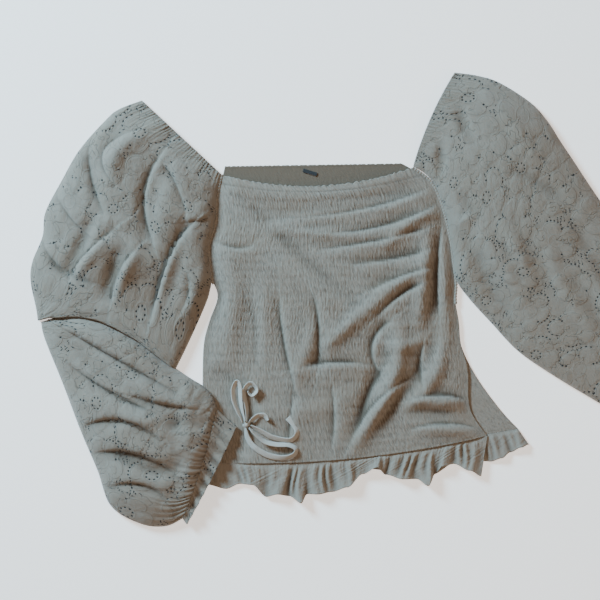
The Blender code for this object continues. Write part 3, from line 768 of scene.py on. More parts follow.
def build_frill(name, seam, waves, floor, columns, rows, step, gather_seed, tone):
    # seam: points along the frill's gathered top, left to right
    across = np.linspace(0, 1, columns + 1)
    place = across * (len(seam) - 1)
    seam_x, seam_y, seam_z = (np.interp(place, np.arange(len(seam)), seam[:, k]) for k in range(3))
    x_free = blend(waves[0][0], waves[-1][0], across)
    reach, lift = wave_at(waves, x_free)
    lift = lift * cuff_clearance(x_free, reach)
    t = np.linspace(0, 1, rows + 1)[:, None]
    x = blend(seam_x, x_free, t)
    y = blend(seam_y - 0.05, reach, t)
    z = blend(seam_z, floor + lift, t)
    u = across[None, :] * 1.5 * (waves[-1][0] - waves[0][0]) + 0 * t
    v = t * np.abs(reach - seam_y)[None, :]
    clear = cuff_clearance(x, y)
    slant = u + 5 * np.sin(v / 13 + u / 37)
    gathers = uneven_wave(slant, 8.5, gather_seed, 0.6) * np.exp(-v / 9) * 1.0
    ripples = uneven_wave(slant, 21.0, gather_seed + 3, 0.6) * (0.3 + np.sin(math.pi * t)) * 1.7
    crumple = uneven_wave(slant + 3 * v, 13.0, gather_seed + 5, 0.8) * np.sin(math.pi * t) * 0.6
    hem = np.exp(-((v - v[-1:] + 1.3) / 1.0) ** 2) * 0.45
    wall = blend(COTTON_WALL, FRILL_WALL, smooth_step(t * 2))
    z = z + wall + (gathers + ripples + crumple + 1.2) * (0.15 + 0.85 * clear) * smooth_step(5 * t) + hem
    z = np.maximum(z, floor + FRILL_WALL * 0.8)
    top = np.stack((x, y, z), axis=-1)
    hollow = np.clip(0.8 * hollow_share(top, 6.0, 2.6), 0, 1)
    uv = np.stack((u, v), axis=-1)
    return cloth_shell(name, top, 0.9, step, uv, floor, hollow, tone + 0 * u)


def flat_floor(x, y):
    return 0 * x


def cuff_floor(x, y):
    # The folded sleeve rises from the floor onto the body
    return CUFF_PILE * smooth_step((x - PILE_START_X) / PILE_RUN)


def ring_places(top_points, bottom_points, side_points):
    # Across from the first edge (0) to the second (1) over the top, then back along the underside
    angle = np.linspace(0, math.pi, 400)
    table_across = 0.5 * (1 - np.cos(angle)) * 0.65 + 0.35 * angle / math.pi
    table_rise = np.sin(angle) ** 0.7
    even = np.linspace(0, 1, top_points + 1)
    across = 0.35 * 0.5 * (1 - np.cos(math.pi * even)) + 0.65 * even
    rise = np.interp(across, table_across, table_rise)
    rise[0] = 0
    rise[-1] = 0
    turn = np.linspace(0, 0.5 * math.pi, side_points + 2)[1:]
    flat = np.linspace(0, 1, bottom_points + 1)[1:-1]
    return across, rise, turn, flat


def tube_points(sections, folds, rings, top_points, floor=flat_floor, turn=1, edge=(), wave=0.0,
                rolls=(), bottom_points=14, side_points=3, dive=0.0):
    # Rings of a puffed tube; returns its points and each one's place across and along it
    at = stations(sections, rings)
    table = spline(sections, at)
    ax, ay, bx, by, sag, height = (table[:, k:k + 1] for k in range(6))
    width = np.hypot(bx - ax, by - ay)
    along_x, along_y = (bx - ax) / width, (by - ay) / width
    over, rise, bend, flat = ring_places(top_points, bottom_points, side_points)
    inset = SIDE_INSET / width
    side = np.minimum(0.42 * height, 5.5)
    low_right = 1 - inset * (1 - np.cos(bend))[None, :]
    low_flat = blend(1 - inset, inset, flat[None, :])
    low_left = inset * (1 - np.cos(bend[::-1]))[None, :]
    top_across = np.broadcast_to(over, (rings + 1, len(over)))
    across = np.concatenate((top_across, low_right, low_flat, low_left), axis=1)
    level_right = side * (1 - np.sin(bend))[None, :]
    level_left = side * (1 - np.sin(bend[::-1]))[None, :]
    level = np.concatenate((side + 0 * over, level_right, 0 * low_flat, level_left), axis=1)
    rise = np.concatenate((rise, np.zeros(across.shape[1] - len(rise))))
    offset = turn * sag * 4 * across * (1 - across)
    x = blend(ax, bx, across) - along_y * offset
    y = blend(ay, by, across) + along_x * offset
    if len(edge):
        part = smooth_step((at - len(sections) + 1) / ELBOW_BLEND + 1)[:, None]
        edge_points = spline(edge, np.clip(across, 0, 1) * (len(edge) - 1))
        x = blend(x, edge_points[..., 0], part)
        y = blend(y, edge_points[..., 1], part)
    grow = (np.arange(rings + 1) / rings)[:, None]
    crown = height - side + fold_height(folds, x, y) + roll_height(rolls, x, y)
    crown = crown + wave * grow * np.cos(2 * math.pi * CUFF_WAVES * across)
    crown = crown * (1 - dive * smooth_step((grow - 0.98) / 0.02))
    z = floor(x, y) + level + np.maximum(crown * rise, 0)
    middle_x, middle_y = 0.5 * (ax + bx)[:, 0], 0.5 * (ay + by)[:, 0]
    length = np.concatenate(([0], np.cumsum(np.hypot(np.diff(middle_x), np.diff(middle_y)))))
    u = (across - 0.5) * width
    beyond = np.concatenate((np.zeros(len(over)), np.linspace(0, 1, across.shape[1] - len(over) + 1)[1:]))
    u = np.where(np.arange(across.shape[1]) >= len(over), 0.5 * width + beyond * width, u)
    v = length[:, None] + 0 * u
    return np.stack((x, y, z), axis=-1), u, v, across, rise[None, :] + 0 * u


def grid_normals(points):
    # Normals of rings of points that close on themselves
    around = np.roll(points, -1, axis=1) - np.roll(points, 1, axis=1)
    along = np.gradient(points, axis=0)
    normal = np.cross(around, along)
    size = np.linalg.norm(normal, axis=2, keepdims=True)
    return normal / np.maximum(size, 1e-9)


def tube_shell(name, outer, inner, step, uv, closed_start, top_count, hollow):
    # A closed wall: fine outside, coarser inside, joined at its open ends
    rings, count = outer.shape[0] - 1, outer.shape[1]
    inside = inner[::step, ::step]
    low_rings, low_count = inside.shape[:2]
    first = outer.shape[0] * count
    index = np.arange(first).reshape(outer.shape[:2])
    following = np.roll(index, -1, axis=1)
    quads = np.stack((index[:-1], following[:-1], following[1:], index[1:]), axis=-1)
    faces = quads.reshape(-1, 4).tolist()
    low = first + np.arange(low_rings * low_count).reshape(low_rings, low_count)
    following_low = np.roll(low, -1, axis=1)
    quads = np.stack((low[:-1], low[1:], following_low[1:], following_low[:-1]), axis=-1)
    faces += quads.reshape(-1, 4).tolist()
    ends = [rings] if closed_start else [0, rings]
    for r in ends:
        for k in range(0, count, step):
            fine = [int(index[r, j % count]) for j in range(k, k + step + 1)]
            part = k // step
            faces.append((*fine, int(low[r // step, (part + 1) % low_count]), int(low[r // step, part])))
    if closed_start:
        faces += end_cap([int(i) for i in index[0]], top_count)
        faces += end_cap([int(i) for i in low[0]], top_count // step)
    vertices = np.concatenate((outer.reshape(-1, 3), inside.reshape(-1, 3)))
    coordinates = np.concatenate((uv.reshape(-1, 2), uv[::step, ::step].reshape(-1, 2)))
    # The inner wall takes the full painted shade
    shade = np.concatenate((hollow.ravel(), np.ones(low_rings * low_count)))
    return make_object(name, vertices, faces, coordinates, shade, np.zeros(len(shade)))


def end_cap(ring, top_count):
    # Strips between the upper and the lower half of a ring
    faces = []
    upper = ring[:top_count + 1]
    lower = ring[:top_count:-1]
    used = 0
    for k in range(top_count):
        want = round((k + 1) / top_count * (len(lower) - 1))
        strip = [upper[k], upper[k + 1]] + [lower[j] for j in range(want, used - 1, -1)]
        faces.append(tuple(strip))
        used = want
    return faces


class Channel:
    # One value in a material, written in sums of other values
    def __init__(self, tree, socket):
        self.tree = tree
        self.socket = socket

    def __add__(self, other):
        return calc("ADD", self, other)

    def __radd__(self, other):
        return calc("ADD", other, self)

    def __sub__(self, other):
        return calc("SUBTRACT", self, other)

    def __rsub__(self, other):
        return calc("SUBTRACT", other, self)

    def __mul__(self, other):
        return calc("MULTIPLY", self, other)

    def __rmul__(self, other):
        return calc("MULTIPLY", other, self)

    def __truediv__(self, other):
        return calc("DIVIDE", self, other)


ARRAY_SUMS = {
    "FLOOR": np.floor,
    "SINE": np.sin,
    "COSINE": np.cos,
    "ARCTAN2": np.arctan2,
    "SQRT": np.sqrt,
    "ABSOLUTE": np.abs,
    "POWER": np.power,
    "MAXIMUM": np.maximum,
    "MINIMUM": np.minimum,
}


def calc(operation, *values):
    # The same sum on arrays of points or on a material's values
    channel = next((value for value in values if isinstance(value, Channel)), None)
    if channel is None:
        return ARRAY_SUMS[operation](*values)
    node = channel.tree.nodes.new("ShaderNodeMath")
    node.operation = operation
    for place, value in enumerate(values):
        if isinstance(value, Channel):
            channel.tree.links.new(value.socket, node.inputs[place])
        else:
            node.inputs[place].default_value = value
    return Channel(channel.tree, node.outputs[0])


def clamp01(value):
    return calc("MINIMUM", calc("MAXIMUM", value, 0.0), 1.0)


def ridge(distance, width):
    # 1 on a line, easing to 0 at its width
    near = 1.0 - calc("MINIMUM", calc("ABSOLUTE", distance) / width, 1.0)
    return near * near * (3.0 - 2.0 * near)


def rising(value, start, end):
    t = clamp01((value - start) / (end - start))
    return t * t * (3.0 - 2.0 * t)


def lace_pattern(u, v, cord):
    # Raised cords, small holes and the petals' swell, at a place on the lace
    row = calc("FLOOR", v / FLOWER_ROW)
    shift = (row * 0.5 - calc("FLOOR", row * 0.5)) * FLOWER_PITCH
    column = calc("FLOOR", (u + shift) / FLOWER_PITCH)
    across = u + shift - (column + 0.5) * FLOWER_PITCH
    along = v - (row + 0.5) * FLOWER_ROW
    chance = calc("SINE", column * 12.9 + row * 7.3)
    radius = calc("SQRT", across * across + along * along)
    angle = calc("ARCTAN2", along, across) + chance * 3.0
    lobe = calc("ABSOLUTE", calc("COSINE", angle * 2.5))
    size = FLOWER_RADIUS * (0.95 + 0.13 * chance)
    reach = size * (0.66 + 0.34 * calc("SQRT", lobe + 0.0001)) + 1.6 * calc("SINE", angle * 3.0 + row)
    edge = radius - reach
    petal = rising(edge, 0.5, -3.0)
    divide = radius * lobe * 0.4
    cut_line = ridge(divide, cord) * rising(radius, 12.0, 17.0) * rising(edge, 2.0, -1.0)
    outline = ridge(edge, cord)
    swell = petal * rising(lobe, 0.0, 0.8) * rising(radius, 6.0, 20.0)
    eye = ridge(radius - FLOWER_EYE - 2.8, cord * 0.9)
    cords = calc("MAXIMUM", calc("MAXIMUM", outline, cut_line), eye * 0.6)
    eye_holes = ridge(radius - FLOWER_EYE, 1.9) * rising(calc("COSINE", angle * 8.0), 0.0, 0.6)
    eye_holes = eye_holes * rising(calc("SINE", column * 5.1 + row * 3.7), 0.1, 0.3)
    string = ridge(divide - 0.3, 1.9) * rising(calc("COSINE", radius * 1.25), -0.1, 0.5)
    string = string * rising(radius, 17.0, 20.0) * rising(edge, 3.5, 1.0)
    border = ridge(edge - 2.2, 1.9) * rising(calc("COSINE", angle * 37.0), -0.1, 0.5)
    bent = u + 2.6 * calc("SINE", v * 0.53 + u * 0.21)
    dots = calc("SINE", bent * 0.74 + v * 0.41) * calc("SINE", v * 0.74 - bent * 0.41)
    sparse = rising(calc("SINE", u * 0.37 + v * 0.23) + calc("SINE", v * 0.41 - u * 0.19), -0.2, 0.3)
    ground = rising(calc("ABSOLUTE", dots), 0.6, 0.85) * rising(edge, 3.2, 4.0) * sparse
    cluster = rising(calc("SINE", u * 0.094 + 1.3) * calc("SINE", v * 0.081 + 0.6), 0.02, 0.25)
    spread = rising(calc("SINE", u * 0.041 + v * 0.052) * calc("SINE", v * 0.063 - u * 0.037), 0.0, 0.2)
    holes = calc("MAXIMUM", string * cluster, calc("MAXIMUM", border * spread, ground * cluster))
    holes = calc("MAXIMUM", eye_holes, holes)
    return cords, rising(holes, 0.35, 0.6), swell


def lace_relief(u, v):
    cords, holes, swell = lace_pattern(u, v, 2.4)
    return 0.32 * cords + 0.55 * swell - 0.25 * holes - 0.2


def lace_place(u, v):
    # The lace is pulled out of its straight rows by its gathers
    bent_u = u + 7 * np.sin(v / 47 + 0.6) + 3.5 * np.sin(v / 21 + u / 60)
    bent_v = v + 6 * np.sin(u / 52 + 1.1) + 3.5 * np.sin(u / 23 + v / 71)
    return bent_u, bent_v


def build_sleeve(name, sections, folds, rings, top_points, start_gather=0.0, end_gather=0.0, pleats=34,
                 end_pleats=30, end_reach=30.0, start_reach=18.0, seed=1,
                 closed_start=False, relief_scale=1.0,
                 step=4, **shape):
    outer, u, v, across, rise = tube_points(sections, folds, rings, top_points, **shape)
    normal = grid_normals(outer)
    middle = outer.shape[1] // 3
    if normal[rings // 2, middle, 2] < 0:
        normal = -normal
    lace_u, lace_v = lace_place(u, v)
    on_top = np.clip(rise * 1.6, 0, 1)
    relief = relief_scale * lace_relief(lace_u, lace_v) * on_top
    length = v.max()
    left = length - v
    gather_place = across * 100
    if start_gather:
        pleat = uneven_wave(gather_place, 100 / pleats, seed)
        relief = relief + start_gather * pleat * np.exp(-(v / start_reach) ** 1.2) * on_top
    if end_gather:
        pleat = uneven_wave(gather_place, 100 / end_pleats, seed + 1)
        relief = relief + end_gather * pleat * np.exp(-(left / end_reach) ** 1.2) * on_top
    fine = outer + normal * relief[..., None]
    inner = outer - normal * (LACE_WALL + 0.3)
    inner[..., 2] = np.minimum(inner[..., 2], outer[..., 2])
    fine[..., 2] = np.maximum(fine[..., 2], outer[..., 2].min())
    hollow = 0.9 * hollow_share(fine, 11.0, 6.0) + 0.35 * hollow_share(fine, 3.0, 1.2)
    hollow = np.clip(hollow, 0, 1)
    uv = np.stack((lace_u, lace_v), axis=-1)
    return tube_shell(name, fine, inner, step, uv, closed_start, top_points, hollow)


def front_surface():
    # Highest point of the front panel near a place, for what lies on it
    rows = 2 * round((FRONT_SECTIONS[0][1] - FRONT_SECTIONS[-1][1]) / SHIRR_PITCH)
    at, across, x, y = front_points(rows, 25)
    z = FRONT_FLOOR + front_lift(x, y, np.broadcast_to(across, x.shape))

    def height(px, py):
        near = z[np.hypot(x - px, y - py) < REST_REACH]
        return (near.max() if len(near) else FRONT_FLOOR) + COTTON_WALL + 0.45 + GAP
    return height


def build_tape(name, route, surface, steps, strands=6):
    # A flat woven tape along a route, turned about its own length by the tilt column
    at = stations(route, steps, columns=(0, 1))
    points = spline(route, at)
    centres = np.array([(x, y, surface(x, y) + lift) for x, y, lift, tilt in points])
    kernel = np.array((1, 2, 3, 2, 1)) / 9
    padded = np.pad(centres[:, 2], 2, mode="edge")
    centres[:, 2] = np.convolve(padded, kernel, mode="valid")
    direction = np.gradient(centres[:, :2], axis=0)
    direction /= np.linalg.norm(direction, axis=1, keepdims=True)
    side = np.stack((-direction[:, 1], direction[:, 0]), axis=1)
    t = np.linspace(0, 1, steps + 1)
    tilt = np.radians(points[:, 3] * (1 - 0.42 * np.sin(math.pi * t) ** 0.6))
    wide = np.stack((side[:, 0] * np.cos(tilt), side[:, 1] * np.cos(tilt), np.sin(tilt)), axis=1)
    thin = np.stack((-side[:, 0] * np.sin(tilt), -side[:, 1] * np.sin(tilt), np.cos(tilt)), axis=1)
    centres[:, 2] += 0.5 * TAPE_WIDTH * np.sin(tilt)
    ring = []
    for k in range(strands + 1):
        ring.append((k / strands - 0.5, 0.5))
    for k in range(strands, -1, -1):
        ring.append((k / strands - 0.5, -0.5))
    vertices, uv = [], []
    run = np.concatenate(([0], np.cumsum(np.linalg.norm(np.diff(centres, axis=0), axis=1))))
    for i in range(steps + 1):
        for w, t in ring:
            edge = 1 - 0.35 * (abs(2 * w) ** 6)
            cup = 0.35 * (1 - (2 * w) ** 2)
            offset = wide[i] * w * TAPE_WIDTH * 0.97 + thin[i] * (t * TAPE_THICKNESS * edge + cup)
            vertices.append(centres[i] + offset)
            uv.append((w * TAPE_WIDTH, run[i]))
    count = len(ring)
    faces = []
    for i in range(steps):
        for k in range(count):
            n = (k + 1) % count
            a, b = count * i + k, count * i + n
            faces.append((a, b, b + count, a + count))
    faces.append(tuple(range(count)))
    faces.append(tuple(range(count * steps, count * steps + count)))
    return make_object(name, vertices, faces, uv, np.zeros(len(vertices)), np.zeros(len(vertices))), run[-1]


def build_knot(name, place, surface, turn):
    # A tape pulled into a knot: a pad of pleats with one turn of the tape over it
    x, y = place
    base = surface(x, y) + GAP
    rows, columns = 20, 28
    vertices, uv = [], []
    for r in range(rows + 1):
        polar = math.pi * r / rows
        for c in range(columns):
            angle = 2 * math.pi * c / columns
            pleat = 1 + 0.07 * math.cos(7 * angle + 2.0 * math.sin(polar))
            wrap = math.exp(-((polar - 0.5 * math.pi) / 0.55) ** 2)
            reach = (1 - 0.16 * wrap) * pleat
            along = 5.4 * math.cos(polar)
            wide = 3.6 * math.sin(polar) ** 0.8 * reach * math.cos(angle)
            high = 3.3 * math.sin(polar) ** 0.8 * reach * math.sin(angle)
            vertices.append((
                x + along * math.cos(turn) - wide * math.sin(turn),
                y + along * math.sin(turn) + wide * math.cos(turn),
                base + 3.5 + high,
            ))
            uv.append((c, r))
    faces = []
    for r in range(rows):
        for c in range(columns):
            n = (c + 1) % columns
            a, b = r * columns + c, r * columns + n
            faces.append((a, b, b + columns, a + columns))
    core = make_object(name, vertices, faces, uv, np.zeros(len(vertices)), np.zeros(len(vertices)))
    bpy.ops.object.select_all(action="DESELECT")
    core.select_set(True)
    bpy.context.view_layer.objects.active = core
    bpy.ops.object.mode_set(mode="EDIT")
    bpy.ops.mesh.select_all(action="SELECT")
    bpy.ops.mesh.remove_doubles(threshold=0.00002)
    bpy.ops.mesh.normals_make_consistent(inside=False)
    bpy.ops.object.mode_set(mode="OBJECT")
    core.select_set(False)
    band_points = []
    for k in range(33):
        angle = 2 * math.pi * k / 32
        band_points.append((3.75 * math.cos(angle), 3.45 * math.sin(angle)))
    vertices, uv, faces = [], [], []
    profile = ((-2.4, 0), (-2.2, 0.5), (-1.1, 0.62), (0, 0.5), (1.1, 0.62), (2.2, 0.5), (2.4, 0), (0, -0.35))
    for k in range(32):
        wide, high = band_points[k]
        size = math.hypot(wide, high)
        for along, out in profile:
            px = wide + out * wide / size
            pz = high + out * high / size
            slant = along + 0.25 * wide
            vertices.append((
                x + slant * math.cos(turn) - px * math.sin(turn),
                y + slant * math.sin(turn) + px * math.cos(turn),
                base + 3.6 + pz,
            ))
            uv.append((along, k * 0.7))
    count = len(profile)
    for k in range(32):
        for j in range(count):
            a, b = k * count + j, k * count + (j + 1) % count
            c, d = ((k + 1) % 32) * count + j, ((k + 1) % 32) * count + (j + 1) % count
            faces.append((a, b, d, c))
    band = make_object(name + "_band", vertices, faces, uv, np.zeros(len(vertices)), np.zeros(len(vertices)))
    return core, band


def turned_route(route):
    # A stretch of the left bow turned about its knot and set down at the right cuff
    turn = math.radians(RIGHT_BOW_TURN)
    result = []
    for x, y, lift, tilt in route:
        dx, dy = x - BOW_KNOT[0], y - BOW_KNOT[1]
        result.append((
            RIGHT_KNOT[0] + dx * math.cos(turn) - dy * math.sin(turn),
            RIGHT_KNOT[1] + dx * math.sin(turn) + dy * math.cos(turn),
            lift,
            tilt,
        ))
    return result


def new_material(name, roughness, sheen):
    made = bpy.data.materials.new(name)
    made.use_nodes = True
    shader = made.node_tree.nodes["Principled BSDF"]
    shader.inputs["Roughness"].default_value = roughness
    shader.inputs["Metallic"].default_value = 0
    shader.inputs["Sheen Weight"].default_value = sheen
    shader.inputs["Sheen Roughness"].default_value = 0.6
    shader.inputs["Specular IOR Level"].default_value = 0.25
    return made, made.node_tree, shader


def cloth_places(tree):
    # Millimetres across and along the cloth, from its own UV map
    reader = tree.nodes.new("ShaderNodeUVMap")
    reader.uv_map = "cloth"
    parts = tree.nodes.new("ShaderNodeSeparateXYZ")
    tree.links.new(reader.outputs["UV"], parts.inputs["Vector"])
    return Channel(tree, parts.outputs["X"]) * 1000.0, Channel(tree, parts.outputs["Y"]) * 1000.0


def attribute(tree, name):
    reader = tree.nodes.new("ShaderNodeAttribute")
    reader.attribute_name = name
    return Channel(tree, reader.outputs["Fac"])


def noise(tree, u, v, scale, detail=3.0, roughness=0.55):
    # Uneven value around 0.5, stretched by what u and v are divided by
    place = tree.nodes.new("ShaderNodeCombineXYZ")
    tree.links.new(u.socket, place.inputs["X"])
    tree.links.new(v.socket, place.inputs["Y"])
    made = tree.nodes.new("ShaderNodeTexNoise")
    made.inputs["Scale"].default_value = scale
    made.inputs["Detail"].default_value = detail
    made.inputs["Roughness"].default_value = roughness
    tree.links.new(place.outputs["Vector"], made.inputs["Vector"])
    return Channel(tree, made.outputs["Fac"])


def colour_sockets(node):
    # The colour inputs and output of a Mix node that mixes colours
    inputs = [s for s in node.inputs if s.type == "RGBA"]
    outputs = [s for s in node.outputs if s.type == "RGBA"]
    return inputs[0], inputs[1], outputs[0]


def tint(tree, share, first, second):
    node = tree.nodes.new("ShaderNodeMix")
    node.data_type = "RGBA"
    tree.links.new(share.socket, node.inputs[0])
    a, b, result = colour_sockets(node)
    for value, socket in ((first, a), (second, b)):
        if isinstance(value, tuple):
            socket.default_value = (*value, 1)
        else:
            tree.links.new(value, socket)
    return result


def bump(tree, shader, height, distance):
    node = tree.nodes.new("ShaderNodeBump")
    node.inputs["Strength"].default_value = 1.0
    node.inputs["Distance"].default_value = distance * MM
    tree.links.new(height.socket, node.inputs["Height"])
    tree.links.new(node.outputs["Normal"], shader.inputs["Normal"])


def weave(u, v, pitch):
    # Threads over and under each other
    turn = 2 * math.pi / pitch
    return calc("SINE", u * turn) * calc("SINE", v * turn) * 0.5 + 0.5


def shirred_material(name, light, painted_shade_colour, inside):
    made, tree, shader = new_material(name, 0.88, 0.15)
    u, v = cloth_places(tree)
    hollow = attribute(tree, "hollow")
    tone = attribute(tree, "tone")
    crinkle = noise(tree, u * 0.36, v * 0.11, 1.0, 3.0, 0.6)
    grain = noise(tree, u, v, 1.1, 2.0, 0.7)
    patch = noise(tree, u, v, 0.022, 2.0, 0.5)
    threads = weave(u, v, 0.9)
    # Painted shade in the folds, by the hollow attribute
    shade = tint(tree, clamp01(hollow * 1.1), light, painted_shade_colour)
    # Painted shade in the hollows of the puckers, where the crinkle bump runs low
    pucker_shade = clamp01((crinkle - 0.52) * -2.2)
    shade = tint(tree, pucker_shade, shade, painted_shade_colour)
    # Random patches of darker brown, painted shade standing in for that of folds
    patch_shade_colour = tuple(c * k for c, k in zip(light, (0.93, 0.86, 0.79)))
    shade = tint(tree, clamp01((patch - 0.45) * 1.6), shade, patch_shade_colour)
    # Painted shade on the back's neck band, mixed in by the tone attribute
    if inside is not None:
        shade = tint(tree, tone, shade, inside)
    tree.links.new(shade, shader.inputs["Base Color"])
    bump(tree, shader, crinkle * 1.0 + grain * 0.25 + threads * 0.06, 0.9)
    return made


def plain_material(name, light, painted_shade_colour):
    made, tree, shader = new_material(name, 0.85, 0.15)
    u, v = cloth_places(tree)
    hollow = attribute(tree, "hollow")
    grain = noise(tree, u, v, 0.8, 3.0, 0.7)
    crease = noise(tree, u * 0.10, v * 0.06, 1.0, 4.0, 0.6)
    threads = weave(u, v, 0.9)
    # Painted shade in the folds, by the hollow attribute
    shade = tint(tree, hollow, light, painted_shade_colour)
    # Painted shade along the small creases
    shade = tint(tree, clamp01((crease - 0.56) * 1.2), shade, painted_shade_colour)
    tree.links.new(shade, shader.inputs["Base Color"])
    bump(tree, shader, crease * 2.4 + grain * 0.35 + threads * 0.08, 0.8)
    return made


def lace_material(name, light, painted_shade_colour):
    made, tree, shader = new_material(name, 0.82, 0.2)
    u, v = cloth_places(tree)
    hollow = attribute(tree, "hollow")
    cords, holes, swell = lace_pattern(u, v, 1.1)
    grain = noise(tree, u, v, 1.3, 3.0, 0.7)
    patch = noise(tree, u, v, 0.03, 2.0, 0.5)
    crease = noise(tree, u * 0.09, v * 0.05, 1.0, 4.0, 0.62)
    contour = noise(tree, u, v, 0.045, 2.0, 0.6)
    wrinkle = ridge(contour - 0.5, 0.016) * rising(patch, 0.42, 0.55)
    threads = weave(u, v, 1.1)
    # Painted shade in the folds, by the hollow attribute
    shade = tint(tree, hollow, light, painted_shade_colour)
    # Random patches of darker brown, painted shade standing in for that of folds
    patch_shade_colour = tuple(c * k for c, k in zip(light, (0.92, 0.85, 0.78)))
    shade = tint(tree, clamp01((patch - 0.42) * 1.8), shade, patch_shade_colour)
    # Painted shade along the small creases
    shade = tint(tree, clamp01((crease - 0.56) * 1.4), shade, painted_shade_colour)
    # Painted shade beside the lace's cords and in its small wrinkles
    shade = tint(tree, clamp01(cords * 0.22 + wrinkle * 0.45), shade, painted_shade_colour)
    # The lace's holes are painted with the dark shade seen through them
    shade = tint(tree, holes, shade, HOLE_PAINTED_SHADE)
    tree.links.new(shade, shader.inputs["Base Color"])
    height = (cords * 0.35 + swell * 0.3 - holes * 1.6 - wrinkle * 0.6 + crease * 2.2 + grain * 0.3
              + threads * 0.08)
    bump(tree, shader, height, 0.8)
    return made


def tape_material():
    made, tree, shader = new_material("tie_tape_finish", 0.75, 0.2)
    u, v = cloth_places(tree)
    rib = calc("SINE", (u + calc("ABSOLUTE", calc("SINE", v * 1.4)) * 0.4) * 3.6) * 0.5 + 0.5
    pick = calc("SINE", v * 6.5) * 0.5 + 0.5
    grain = noise(tree, u, v, 1.4, 2.0, 0.6)
    tape_deep = tuple(c * 0.6 for c in TAPE_LIGHT)
    shade = tint(tree, clamp01(rib * pick * 0.35 + grain * 0.2), TAPE_LIGHT, tape_deep)
    tree.links.new(shade, shader.inputs["Base Color"])
    bump(tree, shader, rib * 0.6 + pick * 0.4 + grain * 0.3, 0.25)
    return made


def label_material():
    made, tree, shader = new_material("dark_label_finish", 0.5, 0.3)
    reader = tree.nodes.new("ShaderNodeTexCoord")
    parts = tree.nodes.new("ShaderNodeSeparateXYZ")
    tree.links.new(reader.outputs["Object"], parts.inputs["Vector"])
    x = Channel(tree, parts.outputs["X"]) * 1000.0
    y = Channel(tree, parts.outputs["Y"]) * 1000.0
    threads = weave(x, y, 0.8)
    shade = tint(tree, threads, LABEL_DARK, (0.02, 0.019, 0.021))
    tree.links.new(shade, shader.inputs["Base Color"])
    bump(tree, shader, threads, 0.15)
    return made


def dress(obj, finish, slot_name, *nodes):
    obj.data.materials.append(finish)
    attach(obj, "root")
    if nodes:
        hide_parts(*nodes)


def build_camera():
    data = bpy.data.cameras.new("above")
    camera = bpy.data.objects.new("above", data)
    bpy.context.scene.collection.objects.link(camera)
    camera.location = (0, 0, CAMERA_DISTANCE * MM)
    camera.rotation_euler = (0, 0, 0)
    data.sensor_width = 36
    data.lens = 36 * CAMERA_DISTANCE / (PHOTO_PIXELS * PIXEL)
    data.clip_end = 20
    bpy.context.scene.camera = camera


def add_light(name, place, size, energy, colour):
    data = bpy.data.lights.new(name, "AREA")
    data.shape = "DISK"
    data.size = size
    data.energy = energy
    data.color = colour
    light = bpy.data.objects.new(name, data)
    bpy.context.scene.collection.objects.link(light)
    light.location = place
    direction = -np.array(place, float)
    flat = math.hypot(direction[0], direction[1])
    heading = math.atan2(direction[1], direction[0]) - 0.5 * math.pi
    light.rotation_euler = (math.atan2(flat, -direction[2]), 0, heading)
    return light


def build_studio():
    mesh = bpy.data.meshes.new("studio_floor")
    reach = 5.0
    corners = [(x * reach, y * reach, -FLOOR_DROP) for x, y in ((-1, -1), (1, -1), (1, 1), (-1, 1))]
    mesh.from_pydata(corners, [], [(0, 1, 2, 3)])
    floor = bpy.data.objects.new("studio_floor", mesh)
    bpy.context.scene.collection.objects.link(floor)
    made = bpy.data.materials.new("pale_floor")
    made.use_nodes = True
    shader = made.node_tree.nodes["Principled BSDF"]
    shader.inputs["Base Color"].default_value = (0.86, 0.86, 0.86, 1)
    shader.inputs["Roughness"].default_value = 0.9
    shader.inputs["Specular IOR Level"].default_value = 0.0
    shader.inputs["Emission Color"].default_value = (1.0, 0.96, 0.93, 1)
    shader.inputs["Emission Strength"].default_value = 0.9
    mesh.materials.append(made)
    add_light("key", (-2.0, 1.7, 1.45), 0.9, 225, (0.46, 0.78, 1.0))
    add_light("overhead", (0.25, -0.2, 2.9), 1.2, 22, (1.0, 0.80, 0.58))
    add_light("fill", (1.8, -1.4, 1.5), 1.6, 14, (1.0, 0.68, 0.42))
    world = bpy.data.worlds.new("room")
    bpy.context.scene.world = world
    world.use_nodes = True
    background = world.node_tree.nodes["Background"]
    background.inputs["Color"].default_value = (1.0, 0.88, 0.76, 1)
    background.inputs["Strength"].default_value = 0.12


def build_body(cotton, plain):
    front = build_front_panel()
    dress(front, cotton, "shirred_cotton", "front_panel")
    seams = build_armhole_seams(plain)
    back = build_back_panel()
    dress(back, cotton, "shirred_cotton", "back_panel")
    seam = front_seam()
    frill = build_frill("front_frill_cloth", seam, FRONT_WAVES, FRONT_FLOOR, 480, 36, 3, 40, 0.0)
    dress(frill, plain, "plain_cotton", "front_frill")
    at = np.array([len(BACK_SECTIONS) - 1.0])
    x, y = body_rows(BACK_SECTIONS, at, np.linspace(0, 1, 61)[None, :])
    back_seam = np.stack((x[0], y[0], 0 * x[0]), axis=1)
    frill = build_frill("back_frill_cloth", back_seam, BACK_WAVES, 0.0, 300, 24, 3, 60, 0.3)
    dress(frill, plain, "plain_cotton", "back_frill")


def front_seam():
    at = np.array([len(FRONT_SECTIONS) - 1.0])
    across = np.linspace(0, 1, 121)[None, :]
    x, y = body_rows(FRONT_SECTIONS, at, across)
    z = FRONT_FLOOR + front_lift(x, y, across)
    return np.stack((x[0], y[0], z[0]), axis=1)


def next_section(section, turn):
    # The seam's other side, a gap further along the tube
    ax, ay, bx, by, sag, height = section
    width = math.hypot(bx - ax, by - ay)
    step_x, step_y = turn * (by - ay) / width * GAP, -turn * (bx - ax) / width * GAP
    return ax + step_x, ay + step_y, bx + step_x, by + step_y, sag, height


